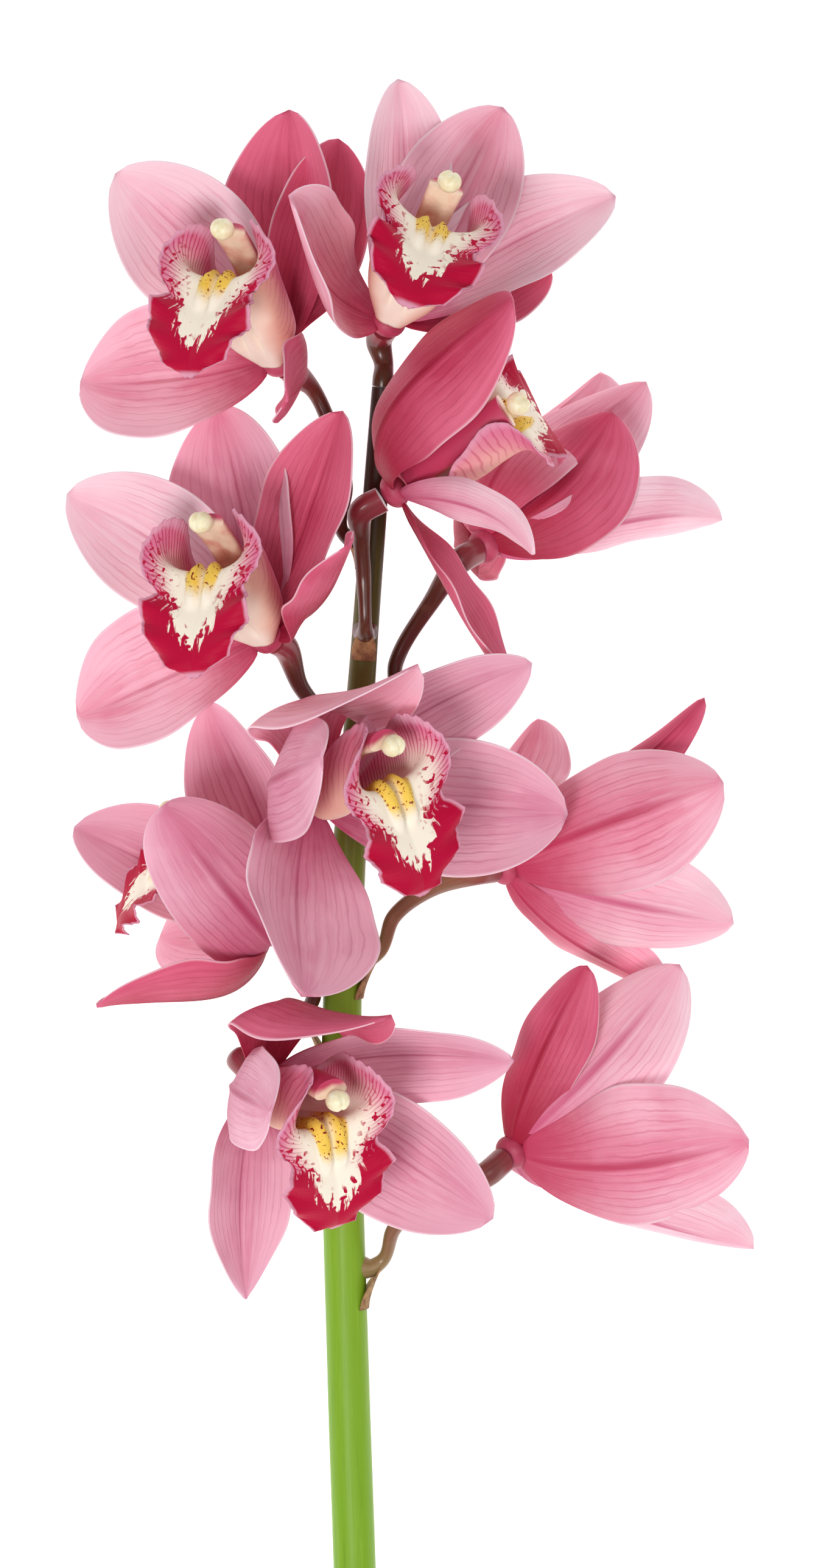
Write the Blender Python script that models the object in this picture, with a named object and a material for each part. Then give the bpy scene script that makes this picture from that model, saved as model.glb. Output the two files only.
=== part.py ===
"""Cut orchid stem with ten open blooms, lying on its back.

+Z points up, away from the surface it lies on, and +Y runs towards the tip of the stem. The
surface is z = 0. Measures are written in millimetres and turned into metres in the meshes.
"""

import math
from dataclasses import dataclass

import bmesh
import bpy
import numpy as np

MM = 0.001
SHARP_FROM = 50

# Where the model's origin lies in the layout: under the middle of its box, on the surface
ORIGIN = (-0.355, -47.085, 0.04)

# Walls and seats
TEPAL_THICK = 0.9
LIP_THICK = 0.8
SEAT_GAP = 0.3

# Hub, where a bloom's pieces meet
HUB_WIDE = 5.2
HUB_DEEP = 3.4
HUB_BACK = 1.0
ROOT_OUT = 3.2

# Tepals: share of the length where the blade is widest, and its root's share of the width
TEPAL_SWELL = 0.8
TEPAL_ROOT = 0.21

TEPAL_ROWS = (0.0, 0.17, 0.4, 0.64, 0.86, 1.0)
TEPAL_COLUMNS = (-1.0, -0.6, 0.0, 0.6, 1.0)
TEPAL_RIPPLES = 2.3
SEPAL_LIFT = -0.9
PETAL_LIFT = 0.5

# Lip, from root to tip: its middle, the bend of its half, and its margin. Each row is the share of
# the way along and then the distances right of, above and ahead of the hub. The side lobes lean
# in over the column between the shares in LIP_LEAN.
LIP_MIDDLE = ((0.00, 0, -3.2, 2.5), (0.15, 0, -2.0, 12), (0.30, 0, 0.5, 20), (0.42, 0, 4.5, 27),
              (0.50, 0, 7.0, 31.5), (0.57, 0, 5.0, 34), (0.63, 0, 0.5, 35.2), (0.68, 0, -3.5, 36),
              (0.73, 0, -7.0, 37), (0.82, 0, -12, 38), (0.91, 0, -17, 38), (1.00, 0, -20.5, 36.5))
LIP_BEND = ((0.00, 2.5, -3.4, 2.1), (0.15, 9.5, -4.5, 11), (0.30, 14.5, -2.0, 19),
            (0.42, 16.0, 2.0, 27), (0.50, 15.0, 6.0, 33), (0.57, 12.0, 6.0, 35.5),
            (0.63, 9.0, 2.0, 36), (0.68, 7.0, -2.0, 37), (0.73, 8.0, -5.0, 38.5),
            (0.82, 8.0, -11.5, 39.5), (0.91, 5.0, -17, 39), (1.00, 0.4, -20.5, 36.5))
LIP_MARGIN = ((0.00, 3.8, -1.8, 2.1), (0.15, 9.0, 6.0, 9), (0.30, 12.0, 16.0, 18),
              (0.42, 9.5, 22.0, 29), (0.50, 12.5, 20.0, 34.5), (0.57, 16.5, 13.0, 36.5),
              (0.63, 15.5, 6.5, 36.5), (0.68, 12.0, 2.0, 36), (0.73, 14.5, -1.5, 38.5),
              (0.82, 13.5, -8.5, 38), (0.91, 8.5, -16, 37.5), (1.00, 0.8, -20.8, 36.3))
LIP_LEAN = ((0.12, 0.3), (0.46, 0.6))
LIP_LEAN_LIFT = 0.2
LIP_WAVE = 1.6
LIP_WAVE_STEP = 0.105
LIP_SEAT = (0.0, -3.2, 2.5)
LIP_ROWS = (0.0, 0.14, 0.28, 0.4, 0.5, 0.59, 0.66, 0.715, 0.77, 0.83, 0.91, 1.0)
LIP_COLUMNS = (-1.0, -0.66, -0.3, -0.13, 0.0, 0.13, 0.3, 0.66, 1.0)
CALLUS_OFF = 2.2
CALLUS_HIGH = 2.2
CALLUS_SLIM = 1.1

# Column: its middle from root to end, and its section
COLUMN_MIDDLE = ((0.0, 1.9, 2.9), (0.35, 9.5, 13.5), (0.7, 15.8, 25.0), (1.0, 18.6, 34.2))
COLUMN_HALF_WIDTH = 4.2
COLUMN_DEPTH = 3.2
CAP_CENTRE = (0.0, 18.2, 37.6)
CAP_RADII = (3.0, 2.7, 2.9)

# Pedicels: radius at the stem and at the ovary behind the hub
PEDICEL_THIN = 1.9
PEDICEL_THICK = 3.3
OVARY_LENGTH = 5.5

# Stem: where its middle runs, and its width there
STEM_PATH = ((-13.0, -268.0, 5.4), (-15.0, -193.0, 15.0), (-16.4, -150.0, 20.5),
             (-17.8, -52.0, 34.0), (-12.2, 36.0, 46.0), (-9.0, 79.0, 52.0), (-7.8, 98.0, 54.2))
STEM_WIDTH = (10.6, 10.6, 10.5, 9.6, 6.6, 6.0, 5.2)


@dataclass(frozen=True)
class Tepal:
    """One sepal or petal: its tip from the hub and how its blade lies."""
    tip: tuple
    width: float = 31.0
    out: float = 0.6
    nod: float = 6.0
    roll: float = 0.0
    bow: float = 0.0
    reach: float = 0.36
    way: float = None
    fold: float = 6.0
    curl: tuple = (35.0, 35.0)
    wave: float = 0.8
    blunt: float = 0.66


@dataclass(frozen=True)
class Bloom:
    """One bloom: where it sits, which way it faces and its five tepals."""
    number: int
    hub: tuple
    front: tuple
    top: tuple
    dorsal: Tepal
    petal_a: Tepal
    petal_b: Tepal
    sepal_a: Tepal
    sepal_b: Tepal
    lip_size: float = 1.0
    lean: tuple = (2.0, 2.0)

    def tepals(self):
        """The five tepals with their roles."""
        return (("dorsal", self.dorsal), ("petal_a", self.petal_a), ("petal_b", self.petal_b),
                ("sepal_a", self.sepal_a), ("sepal_b", self.sepal_b))


def unit(v):
    """Vectors scaled to length one."""
    v = np.asarray(v, float)
    return v / np.linalg.norm(v, axis=-1, keepdims=True)


def ease(x, start, end):
    """Smooth step from 0 at start to 1 at end."""
    t = np.clip((np.asarray(x, float) - start) / (end - start), 0, 1)
    return t * t * (3 - 2 * t)


def along_keys(x, keys):
    """Smooth curve through (place, value) pairs."""
    places = np.array([k[0] for k in keys], float)
    values = np.array([k[1] for k in keys], float)
    slopes = np.gradient(values, places, axis=0)
    x = np.clip(x, places[0], places[-1])
    i = np.clip(np.searchsorted(places, x, side="right") - 1, 0, len(places) - 2)
    step = places[i + 1] - places[i]
    t = (x - places[i]) / step
    return ((2 * t**3 - 3 * t**2 + 1) * values[i] + (t**3 - 2 * t**2 + t) * step * slopes[i]
            + (3 * t**2 - 2 * t**3) * values[i + 1] + (t**3 - t**2) * step * slopes[i + 1])


def bloom_axes(bloom):
    """Right, top and front of a bloom as rows."""
    front = unit(bloom.front)
    top = np.array(bloom.top, float)
    top = unit(top - np.dot(top, front) * front)
    return np.array([np.cross(top, front), top, front])


def tepal_half_width(u, tepal):
    """Half width of the blade at share u of its length."""
    widest = TEPAL_SWELL / (TEPAL_SWELL + tepal.blunt)
    body = (u / widest) ** TEPAL_SWELL * np.maximum((1 - u) / (1 - widest), 0) ** tepal.blunt
    root = TEPAL_ROOT * (1 - u) ** 5
    return tepal.width / 2 * (body * (1 - root) + root)


def tepal_surface(bloom, tepal, name, us, vs):
    """Points of a tepal's middle surface; u runs root to tip and v margin to margin."""
    right, top, front = bloom_axes(bloom)
    hub = np.array(bloom.hub, float)
    chord = np.array(tepal.tip, float)
    flat = unit(chord - np.dot(chord, front) * front)
    if tepal.way is not None:
        flat = top * math.cos(math.radians(tepal.way)) + right * math.sin(math.radians(tepal.way))
    lift = PETAL_LIFT if name.startswith("petal") else SEPAL_LIFT
    root = hub + flat * ROOT_OUT + front * lift
    end = hub + chord
    reach = end - root
    length = np.linalg.norm(reach)
    straight = unit(reach)
    side = unit(np.cross(flat, front))
    inward = unit(np.cross(side, straight))
    sway = math.tan(math.radians(tepal.bow)) * side
    start_way = unit(straight * (1 - tepal.out) + flat * tepal.out + sway)
    end_way = unit(straight + math.tan(math.radians(tepal.nod)) * inward - sway)
    grip = length * tepal.reach
    a, b, c, d = root, root + start_way * grip, end - end_way * grip, end
    u = us[:, None]
    mid = (1 - u)**3 * a + 3 * (1 - u)**2 * u * b + 3 * (1 - u) * u**2 * c + u**3 * d
    way = unit((1 - u)**2 * (b - a) + 2 * (1 - u) * u * (c - b) + u**2 * (d - c))
    face = unit(np.cross(side[None, :], way))
    cross = np.cross(way, face)
    turn = np.radians(tepal.roll * ease(us, 0.0, 0.35))[:, None]
    face, cross = (face * np.cos(turn) - cross * np.sin(turn),
                   cross * np.cos(turn) + face * np.sin(turn))
    half = tepal_half_width(us, tepal)
    fold = math.radians(tepal.fold)
    points = np.zeros((len(us), len(vs), 3))
    for j, v in enumerate(vs):
        sign = 1 if v >= 0 else -1
        curl = math.radians(tepal.curl[1 if v >= 0 else 0]) or 0.001
        bend = curl * ease(us, -0.2, 0.5)
        reach_out = half * (np.sin(fold + bend * abs(v)) - math.sin(fold)) / bend
        raised = half * (math.cos(fold) - np.cos(fold + bend * abs(v))) / bend
        ripple = tepal.wave * abs(v)**3 * np.sin(
            2 * math.pi * (TEPAL_RIPPLES * us + 0.31 * sign)) * np.sin(math.pi * us)
        points[:, j] = (mid + cross * (sign * reach_out)[:, None]
                        + face * (raised + ripple)[:, None])
    return points


def lip_surface(bloom, us, vs):
    """Points of the lip's middle surface; u runs root to tip and v margin to margin."""
    rows = []
    for table in (LIP_MIDDLE, LIP_BEND, LIP_MARGIN):
        rows.append(np.stack([along_keys(us, [(k[0], k[n]) for k in table]) for n in (1, 2, 3)], -1))
    middle, bend, margin = rows
    slope = np.gradient(middle, us, axis=0)
    normal = unit(np.stack([np.zeros_like(us), slope[:, 2], -slope[:, 1]], -1))
    mid_lobe = ease(us, 0.66, 0.74) * (1 - ease(us, 0.93, 1.0) * 0.8)
    ridge = CALLUS_HIGH * ease(us, 0.06, 0.2) * (1 - ease(us, 0.64, 0.7))
    leaning = ease(us, *LIP_LEAN[0]) * (1 - ease(us, *LIP_LEAN[1]))
    points = np.zeros((len(us), len(vs), 3))
    for j, v in enumerate(vs):
        sign = 1 if v >= 0 else -1
        t = abs(v)
        row = (1 - t)**2 * middle + 2 * (1 - t) * t * bend + t**2 * margin
        waves = LIP_WAVE * t**2.5 * np.sin(2 * math.pi * us / LIP_WAVE_STEP + (0.5 if sign > 0 else 2.4))
        raised = ridge * np.exp(-((row[:, 0] - CALLUS_OFF) / CALLUS_SLIM) ** 2) + mid_lobe * waves
        lean = t**2 * leaning * bloom.lean[1 if v >= 0 else 0]
        row[:, 0] -= lean
        row[:, 1] += lean * LIP_LEAN_LIFT
        row = row + normal * raised[:, None]
        row[:, 0] *= sign
        points[:, j] = row
    seat = np.array(LIP_SEAT)
    points = seat + (points - seat) * bloom.lip_size
    return np.array(bloom.hub) + points @ bloom_axes(bloom)


def column_rings(bloom, us, sides):
    """Rings of points round the column, root to end."""
    high = along_keys(us, [(k[0], k[1]) for k in COLUMN_MIDDLE])
    ahead = along_keys(us, [(k[0], k[2]) for k in COLUMN_MIDDLE])
    slope = np.arctan2(np.gradient(high, us), np.gradient(ahead, us))
    half = COLUMN_HALF_WIDTH * (0.8 + 0.25 * us)
    rings = np.zeros((len(us), sides, 3))
    for j in range(sides):
        a = 2 * math.pi * j / sides
        lift = COLUMN_DEPTH * math.sin(a)
        if lift < 0:
            lift *= 0.3 + 0.3 * abs(math.cos(a))
        rings[:, j, 0] = half * math.cos(a)
        rings[:, j, 1] = high + lift * np.cos(slope) * ease(us, -0.9, 0.1)
        rings[:, j, 2] = ahead - lift * np.sin(slope) * ease(us, 0.0, 0.2)
    return np.array(bloom.hub) + rings @ bloom_axes(bloom)


def cap_place(bloom):
    """Centre of the anther cap."""
    return np.array(bloom.hub) + np.array(CAP_CENTRE) @ bloom_axes(bloom)


BLOOMS = (
    Bloom(1, (-33.8, 104.7, 64), (-0.45, 0.36, 0.82), (0.22, 0.93, -0.29),
          dorsal=Tepal((3, 62, -12), 34),
          petal_a=Tepal((-40, 46, -8), 37, bow=10),
          petal_b=Tepal((15, 55, -14), 28, roll=-50),
          sepal_a=Tepal((-49, -5, -22), 41, bow=-8),
          sepal_b=Tepal((3, -12, 44), 23, way=90, out=0.5),
          lean=(0, 7)),
    Bloom(2, (-6.0, 114.5, 62), (0.26, 0.48, 0.84), (0.27, 0.80, -0.54),
          dorsal=Tepal((28, 53, -12), 34),
          petal_a=Tepal((2, 60, -12), 25, bow=12),
          petal_b=Tepal((56, 31, -14), 30, bow=-10),
          sepal_a=Tepal((-24, 28, 42), 34, bow=-8),
          sepal_b=Tepal((40, 13, -16), 28)),
    Bloom(3, (-4.0, 72.5, 66), (0.85, 0.5, 0.1), (-0.1, 0.1, 1.0),
          dorsal=Tepal((28, 45, 32), 36, bow=16, out=1.1),
          petal_a=Tepal((33, -17, 40), 12.5, bow=25, out=0.2, nod=-25, roll=35),
          petal_b=Tepal((16, 45, -22), 26, way=75, out=1.0),
          sepal_a=Tepal((28, -48, -9), 20, roll=-15, bow=14),
          sepal_b=Tepal((22, 24, -46), 24),
          lean=(8, 3)),
    Bloom(4, (18.0, 59.3, 46), (0.6, 0.35, -0.72), (0.8, 0.1, 0.6),
          dorsal=Tepal((31, 33, -4), 35, out=0.6, bow=-24, nod=0),
          petal_a=Tepal((40, 41, -22), 30, out=0.7),
          petal_b=Tepal((59, 7, -26), 22, out=0.7, bow=24),
          sepal_a=Tepal((29, 44, -36), 36, bow=-10, out=0.8),
          sepal_b=Tepal((0, 9, -45.8), 28, out=0.8),
          lip_size=0.72),
    Bloom(5, (-36.5, 36.5, 72), (-0.43, 0.25, 0.87), (0.05, 0.97, -0.25),
          dorsal=Tepal((-12, 57, -18), 36),
          petal_a=Tepal((-49, 35, -10), 34, bow=10),
          petal_b=Tepal((19, 55, 1), 27),
          sepal_a=Tepal((-47, -20, -26), 39),
          sepal_b=Tepal((21, 21, 46), 24, roll=50),
          lean=(0, 5)),
    Bloom(6, (-35.9, -35.7, 46), (-0.86, 0.4, 0.25), (-0.1, 0.8, 0.5),
          dorsal=Tepal((-15, 56, -4), 33, roll=-30),
          petal_a=Tepal((-49, 25, -20), 32, roll=-30),
          petal_b=Tepal((-26, 30, 41), 33, way=75, out=1.4),
          sepal_a=Tepal((-42, -19, 24), 31, out=1.0, reach=0.46),
          sepal_b=Tepal((-28, -3, -45.6), 28, out=1.0),
          lip_size=0.88),
    Bloom(7, (-24.0, -3.3, 74), (0.6, -0.12, 0.79), (-0.20, 0.94, 0.29),
          dorsal=Tepal((25, 32, 32), 40, bow=-14, out=1.7, reach=0.7),
          petal_a=Tepal((2, 10, 46), 32, way=-62, out=1.3, reach=0.5, curl=(15, 15)),
          petal_b=Tepal((53, 33, -6), 26, bow=-10),
          sepal_a=Tepal((-3, -48, 30), 46, curl=(25, 15)),
          sepal_b=Tepal((62, -4, -16), 38),
          lean=(8, 0)),
    Bloom(8, (23.3, -20.6, 40), (0.75, 0.1, -0.65), (0.2, 0.5, 0.8),
          dorsal=Tepal((53, 21, 20), 38),
          petal_a=Tepal((49, 42, -4), 14, bow=-18),
          petal_b=Tepal((56, -14, 6), 30),
          sepal_a=Tepal((8, 37, -38), 30, roll=-30),
          sepal_b=Tepal((40.5, -31.5, -14), 20),
          lip_size=0.85),
    Bloom(9, (-37.5, -73.0, 74), (0.5, -0.49, 0.71), (0.01, 0.83, 0.56),
          dorsal=Tepal((32, 17, 40), 38, bow=-11, out=1.3, reach=0.62),
          petal_a=Tepal((3, -6, 48), 26, way=-70, out=1.0, reach=0.3, curl=(15, 15)),
          petal_b=Tepal((62, 5, -4), 26, bow=-8),
          sepal_a=Tepal((-4, -54, -14), 27, bow=8, blunt=0.9),
          sepal_b=Tepal((57, -34, -10), 34),
          lean=(7, 0)),
    Bloom(10, (24.8, -90.8, 44), (0.6, 0.5, -0.62), (-0.1, 0.6, 0.8),
          dorsal=Tepal((58, 3, 9), 42, bow=-10, curl=(8, 30)),
          petal_a=Tepal((41, 46, 2), 32, bow=-10, out=0.9),
          petal_b=Tepal((60, -25, -18), 30),
          sepal_a=Tepal((18, 46, 12), 22, bow=2),
          sepal_b=Tepal((30, -8, -40), 28)),
)

# Pedicels: how far up the stem each leaves it, on which side (degrees round the stem, 0 to the
# right and 90 to the front), and the points it passes on its way to its hub
PEDICELS = {
    1: (60, 180, ((-17.0, 74, 50), (-20.5, 88, 50), (-25.5, 98, 52))),
    2: None,
    3: (38, 90, ((-12.5, 52, 56.5), (-13.0, 61, 60))),
    4: (19, 0, ((-4.5, 30, 42), (4.2, 45, 47))),
    5: (4, 180, ((-21.0, 12, 45), (-28.5, 25, 55))),
    6: (-60, 180, ((-25.0, -53, 36), (-24.5, -46, 39))),
    7: (-32, 115, ((-21.0, -25, 47), (-28.0, -10, 58))),
    8: (-43, 0, ((-5.0, -33, 39), (4.0, -26, 43))),
    9: (-88, 110, ((-23.0, -84, 43), (-36.0, -76, 57))),
    10: (-121, 0, ((-5.0, -111, 30), (6.0, -102, 40))),
}

# Dry bracts on the stem: how far up, on which side, length, and how far they stand off
BRACT_THICK = 0.7
BRACT_SPREAD = 62
BRACTS = ((-133, 0, 9, 4), (-72, 180, 9, 4), (-55, 0, 9, 4), (29, 90, 7, 3), (10, 0, 7, 3),
          (51, 180, 7, 3), (-43, 115, 9, 4))


def path_rings(points, radii, sides, count):
    """Rings round a smooth path through the points, with a radius at each of them."""
    points = np.array(points, float)
    gaps = np.linalg.norm(np.diff(points, axis=0), axis=1)
    places = np.concatenate([[0], np.cumsum(gaps)]) / gaps.sum()
    us = [0.0]
    for start, end in zip(places, places[1:]):
        steps = max(1, round((end - start) * count))
        us += [start + (end - start) * (k + 1) / steps for k in range(steps)]
    us = np.array(us)
    count = len(us)
    curves = [list(zip(places, points[:, n])) for n in range(3)]
    middle = np.stack([along_keys(us, curve) for curve in curves], -1)
    before = np.stack([along_keys(us - 0.004, curve) for curve in curves], -1)
    after = np.stack([along_keys(us + 0.004, curve) for curve in curves], -1)
    radius = along_keys(us, list(zip(places, radii)))
    way = unit(after - before)
    way[0] = unit(points[1] - points[0])
    way[-1] = unit(points[-1] - points[-2])
    across = np.cross(way[0], (0.0, 0.0, 1.0) if abs(way[0][2]) < 0.9 else (1.0, 0.0, 0.0))
    rings = np.zeros((count, sides, 3))
    for i in range(count):
        across = unit(across - np.dot(across, way[i]) * way[i])
        lift = np.cross(across, way[i])
        for j in range(sides):
            a = 2 * math.pi * j / sides
            rings[i, j] = middle[i] + radius[i] * (across * math.cos(a) + lift * math.sin(a))
    return rings


def stem_at(height):
    """Middle of the stem, its radius and its direction at a height along +Y."""
    heights = [p[1] for p in STEM_PATH]
    y = np.array([float(height)])
    middle = np.array([along_keys(y, list(zip(heights, [p[n] for p in STEM_PATH])))[0]
                       for n in range(3)])
    ahead = np.array([along_keys(y + 1, list(zip(heights, [p[n] for p in STEM_PATH])))[0]
                      for n in range(3)])
    radius = along_keys(y, list(zip(heights, [w / 2 for w in STEM_WIDTH])))[0]
    return middle, radius, unit(ahead - middle)


def stem_side(height, angle):
    """Direction square to the stem at an angle round it."""
    way = stem_at(height)[2]
    right = unit(np.cross(way, (0.0, 0.0, 1.0)))
    front = np.cross(right, way)
    a = math.radians(angle)
    return right * math.cos(a) + front * math.sin(a)


def stem_rings(count, sides):
    """Rings of the stem from its cut end to its tip."""
    return path_rings(STEM_PATH, [w / 2 for w in STEM_WIDTH], sides, count)


def pedicel_rings(bloom, count, sides):
    """Rings of a bloom's stalk and ovary, ending in the seat behind its hub."""
    front = bloom_axes(bloom)[2]
    seat = np.array(bloom.hub) - front * (HUB_BACK + HUB_DEEP + SEAT_GAP)
    if PEDICELS[bloom.number] is None:
        end = np.array(STEM_PATH[-1])
        way = unit(end - np.array(STEM_PATH[-2]))
        points = [end + way * SEAT_GAP, end + way * 2.0, end + way * 5.5 - np.array((0, 0, 1.8))]
        radii = [STEM_WIDTH[-1] / 2, STEM_WIDTH[-1] / 2, PEDICEL_THIN + 0.5]
    else:
        height, angle, passed = PEDICELS[bloom.number]
        middle, radius, way = stem_at(height)
        side = stem_side(height, angle)
        start = middle + side * (radius + SEAT_GAP + 0.1)
        points = [start, start + side * 1.5, start + side * 3.2 + way * 1.2] + list(passed)
        radii = [PEDICEL_THIN + 0.2, PEDICEL_THIN + 0.1] + [PEDICEL_THIN] * (len(passed) + 1)
        radii[-1] = PEDICEL_THIN + 0.3
    points += [seat - front * OVARY_LENGTH, seat]
    radii += [PEDICEL_THICK, PEDICEL_THICK * 0.8]
    return path_rings(points, radii, sides, count)


# Ways of joining solids, in the order in which they are tried until the result is sound
UNION_WAYS = (("EXACT", "BEAUTY"), ("EXACT", "EAR_CLIP"), ("MANIFOLD", "BEAUTY"),
              ("MANIFOLD", "EAR_CLIP"))


def clear_scene():
    """Removes what the scene holds."""
    for thing in list(bpy.data.objects):
        bpy.data.objects.remove(thing)


def make_material(name, colour, roughness):
    """Plain material with the piece's colour."""
    material = bpy.data.materials.get(name) or bpy.data.materials.new(name)
    material.use_nodes = True
    shader = material.node_tree.nodes["Principled BSDF"]
    shader.inputs["Base Color"].default_value = (*colour, 1.0)
    shader.inputs["Roughness"].default_value = roughness
    shader.inputs["Metallic"].default_value = 0.0
    material.diffuse_color = (*colour, 1.0)
    return material


def object_from(bm, name, material):
    """Turns an edit mesh in millimetres into an object in metres."""
    bm.normal_update()
    bmesh.ops.recalc_face_normals(bm, faces=bm.faces)
    mesh = bpy.data.meshes.new(name)
    for vert in bm.verts:
        vert.co *= MM
    bm.to_mesh(mesh)
    bm.free()
    mesh.materials.append(material)
    thing = bpy.data.objects.new(name, mesh)
    bpy.context.scene.collection.objects.link(thing)
    return thing


def sheet(name, points, thickness, material):
    """A thin blade: a grid laid on the points, with both faces triangulated alike."""
    rows, columns = points.shape[:2]
    bm = bmesh.new()
    bmesh.ops.create_grid(bm, x_segments=columns - 1, y_segments=rows - 1, size=0.5)
    bm.verts.ensure_lookup_table()
    order = sorted(bm.verts, key=lambda v: (round(v.co.y, 4), round(v.co.x, 4)))
    for k, vert in enumerate(order):
        vert.co = points[k // columns, k % columns]
    bmesh.ops.remove_doubles(bm, verts=bm.verts, dist=0.02)
    bmesh.ops.triangulate(bm, faces=bm.faces)
    mesh = bpy.data.meshes.new(name)
    for vert in bm.verts:
        vert.co *= MM
    bm.to_mesh(mesh)
    bm.free()
    mesh.materials.append(material)
    thing = bpy.data.objects.new(name, mesh)
    bpy.context.scene.collection.objects.link(thing)
    wall = thing.modifiers.new("Wall", "SOLIDIFY")
    wall.thickness = thickness * MM
    wall.offset = 0.0
    wall.use_even_offset = False
    return settled(thing)


def settled(thing):
    """Applies an object's modifiers."""
    bpy.context.view_layer.update()
    graph = bpy.context.evaluated_depsgraph_get()
    mesh = bpy.data.meshes.new_from_object(thing.evaluated_get(graph), depsgraph=graph)
    thing.modifiers.clear()
    thing.data = mesh
    return thing


def loft(name, rings, material):
    """A closed round bar through rings of points."""
    sides = rings.shape[1]
    bm = bmesh.new()
    bmesh.ops.create_circle(bm, cap_ends=True, segments=sides, radius=1.0)
    bm.verts.ensure_lookup_table()
    ring = sorted(bm.verts, key=lambda v: math.atan2(v.co.y, v.co.x) % (2 * math.pi - 0.0001))
    edges = list(bm.edges)
    for vert, point in zip(ring, rings[0]):
        vert.co = point
    for row in rings[1:]:
        made = bmesh.ops.extrude_edge_only(bm, edges=edges)
        edges = [g for g in made["geom"] if isinstance(g, bmesh.types.BMEdge)]
        new = {v for e in edges for v in e.verts}
        following = []
        for vert in ring:
            link = [e.other_vert(vert) for e in vert.link_edges if e.other_vert(vert) in new]
            following.append(link[0])
        for vert, point in zip(following, row):
            vert.co = point
        ring = following
        edges = [e for e in edges if e.verts[0] in new and e.verts[1] in new]
    bmesh.ops.contextual_create(bm, geom=edges)
    bmesh.ops.triangulate(bm, faces=[face for face in bm.faces if len(face.verts) == 4])
    return object_from(bm, name, material)


def cut_into_triangles(mesh, method):
    """Splits a mesh's faces into triangles, larger faces by the named method."""
    bm = bmesh.new()
    bm.from_mesh(mesh)
    bmesh.ops.triangulate(bm, faces=bm.faces, ngon_method=method)
    bm.to_mesh(mesh)
    bm.free()


def is_sound(mesh):
    """True if a mesh is one closed body."""
    bm = bmesh.new()
    bm.from_mesh(mesh)
    closed = all(len(edge.link_faces) == 2 for edge in bm.edges)
    reached = {bm.verts[:][0]}
    front = list(reached)
    while front:
        vert = front.pop()
        for edge in vert.link_edges:
            other = edge.other_vert(vert)
            if other not in reached:
                reached.add(other)
                front.append(other)
    whole = len(reached) == len(bm.verts)
    bm.free()
    return closed and whole


def joined(name, parts):
    """One solid from overlapping ones, by a Boolean union on a collection."""
    body = parts[0]
    body.name = name
    group = bpy.data.collections.new(name + "_parts")
    bpy.context.scene.collection.children.link(group)
    for other in parts[1:]:
        group.objects.link(other)
        bpy.context.scene.collection.objects.unlink(other)
    before = body.data
    for solver, method in UNION_WAYS:
        body.data = before
        union = body.modifiers.new("Union", "BOOLEAN")
        union.operation = "UNION"
        union.operand_type = "COLLECTION"
        union.collection = group
        union.solver = solver
        settled(body)
        cut_into_triangles(body.data, method)
        if is_sound(body.data):
            break
    for other in parts[1:]:
        bpy.data.objects.remove(other)
    bpy.data.collections.remove(group)
    body.data.name = name
    return body


def build_tepals(bloom):
    """Hub, three sepals and two petals as one piece."""
    colour = make_material("tepal_pink", (0.72, 0.24, 0.36), 0.5)
    axes = bloom_axes(bloom)
    centre = np.array(bloom.hub) - axes[2] * HUB_BACK
    bm = bmesh.new()
    bmesh.ops.create_uvsphere(bm, u_segments=8, v_segments=5, radius=1.0)
    for vert in bm.verts:
        local = np.array(vert.co) * (HUB_WIDE, HUB_WIDE, HUB_DEEP)
        vert.co = centre + local @ axes
    name = "bloom_%02d_tepals" % bloom.number
    parts = [object_from(bm, name, colour)]
    us = np.array(TEPAL_ROWS)
    vs = np.array(TEPAL_COLUMNS)
    for role, tepal in bloom.tepals():
        points = tepal_surface(bloom, tepal, role, us, vs)
        parts.append(sheet(name + "_" + role, points, TEPAL_THICK, colour))
    return joined(name, parts)


def build_lip(bloom):
    """Lip with its side lobes, waved mid-lobe and callus ridges."""
    colour = make_material("lip_crimson", (0.45, 0.02, 0.09), 0.5)
    points = lip_surface(bloom, np.array(LIP_ROWS), np.array(LIP_COLUMNS))
    return sheet("bloom_%02d_lip" % bloom.number, points, LIP_THICK, colour)


def build_column(bloom):
    """Arched column over the lip."""
    colour = make_material("column_cream", (0.80, 0.55, 0.42), 0.45)
    rings = column_rings(bloom, np.linspace(0, 1, 5), 8)
    return loft("bloom_%02d_column" % bloom.number, rings, colour)


def build_cap(bloom):
    """Anther cap at the column's end."""
    colour = make_material("anther_ivory", (0.86, 0.78, 0.55), 0.4)
    axes = bloom_axes(bloom)
    centre = cap_place(bloom)
    bm = bmesh.new()
    bmesh.ops.create_uvsphere(bm, u_segments=8, v_segments=4, radius=1.0)
    for vert in bm.verts:
        local = np.array(vert.co) * CAP_RADII
        vert.co = centre + local @ axes
    return object_from(bm, "bloom_%02d_anther_cap" % bloom.number, colour)


def build_pedicel(bloom):
    """Stalk and ovary of one bloom."""
    colour = make_material("pedicel_brown", (0.16, 0.06, 0.035), 0.5)
    return loft("pedicel_%02d" % bloom.number, pedicel_rings(bloom, 8, 8), colour)


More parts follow.
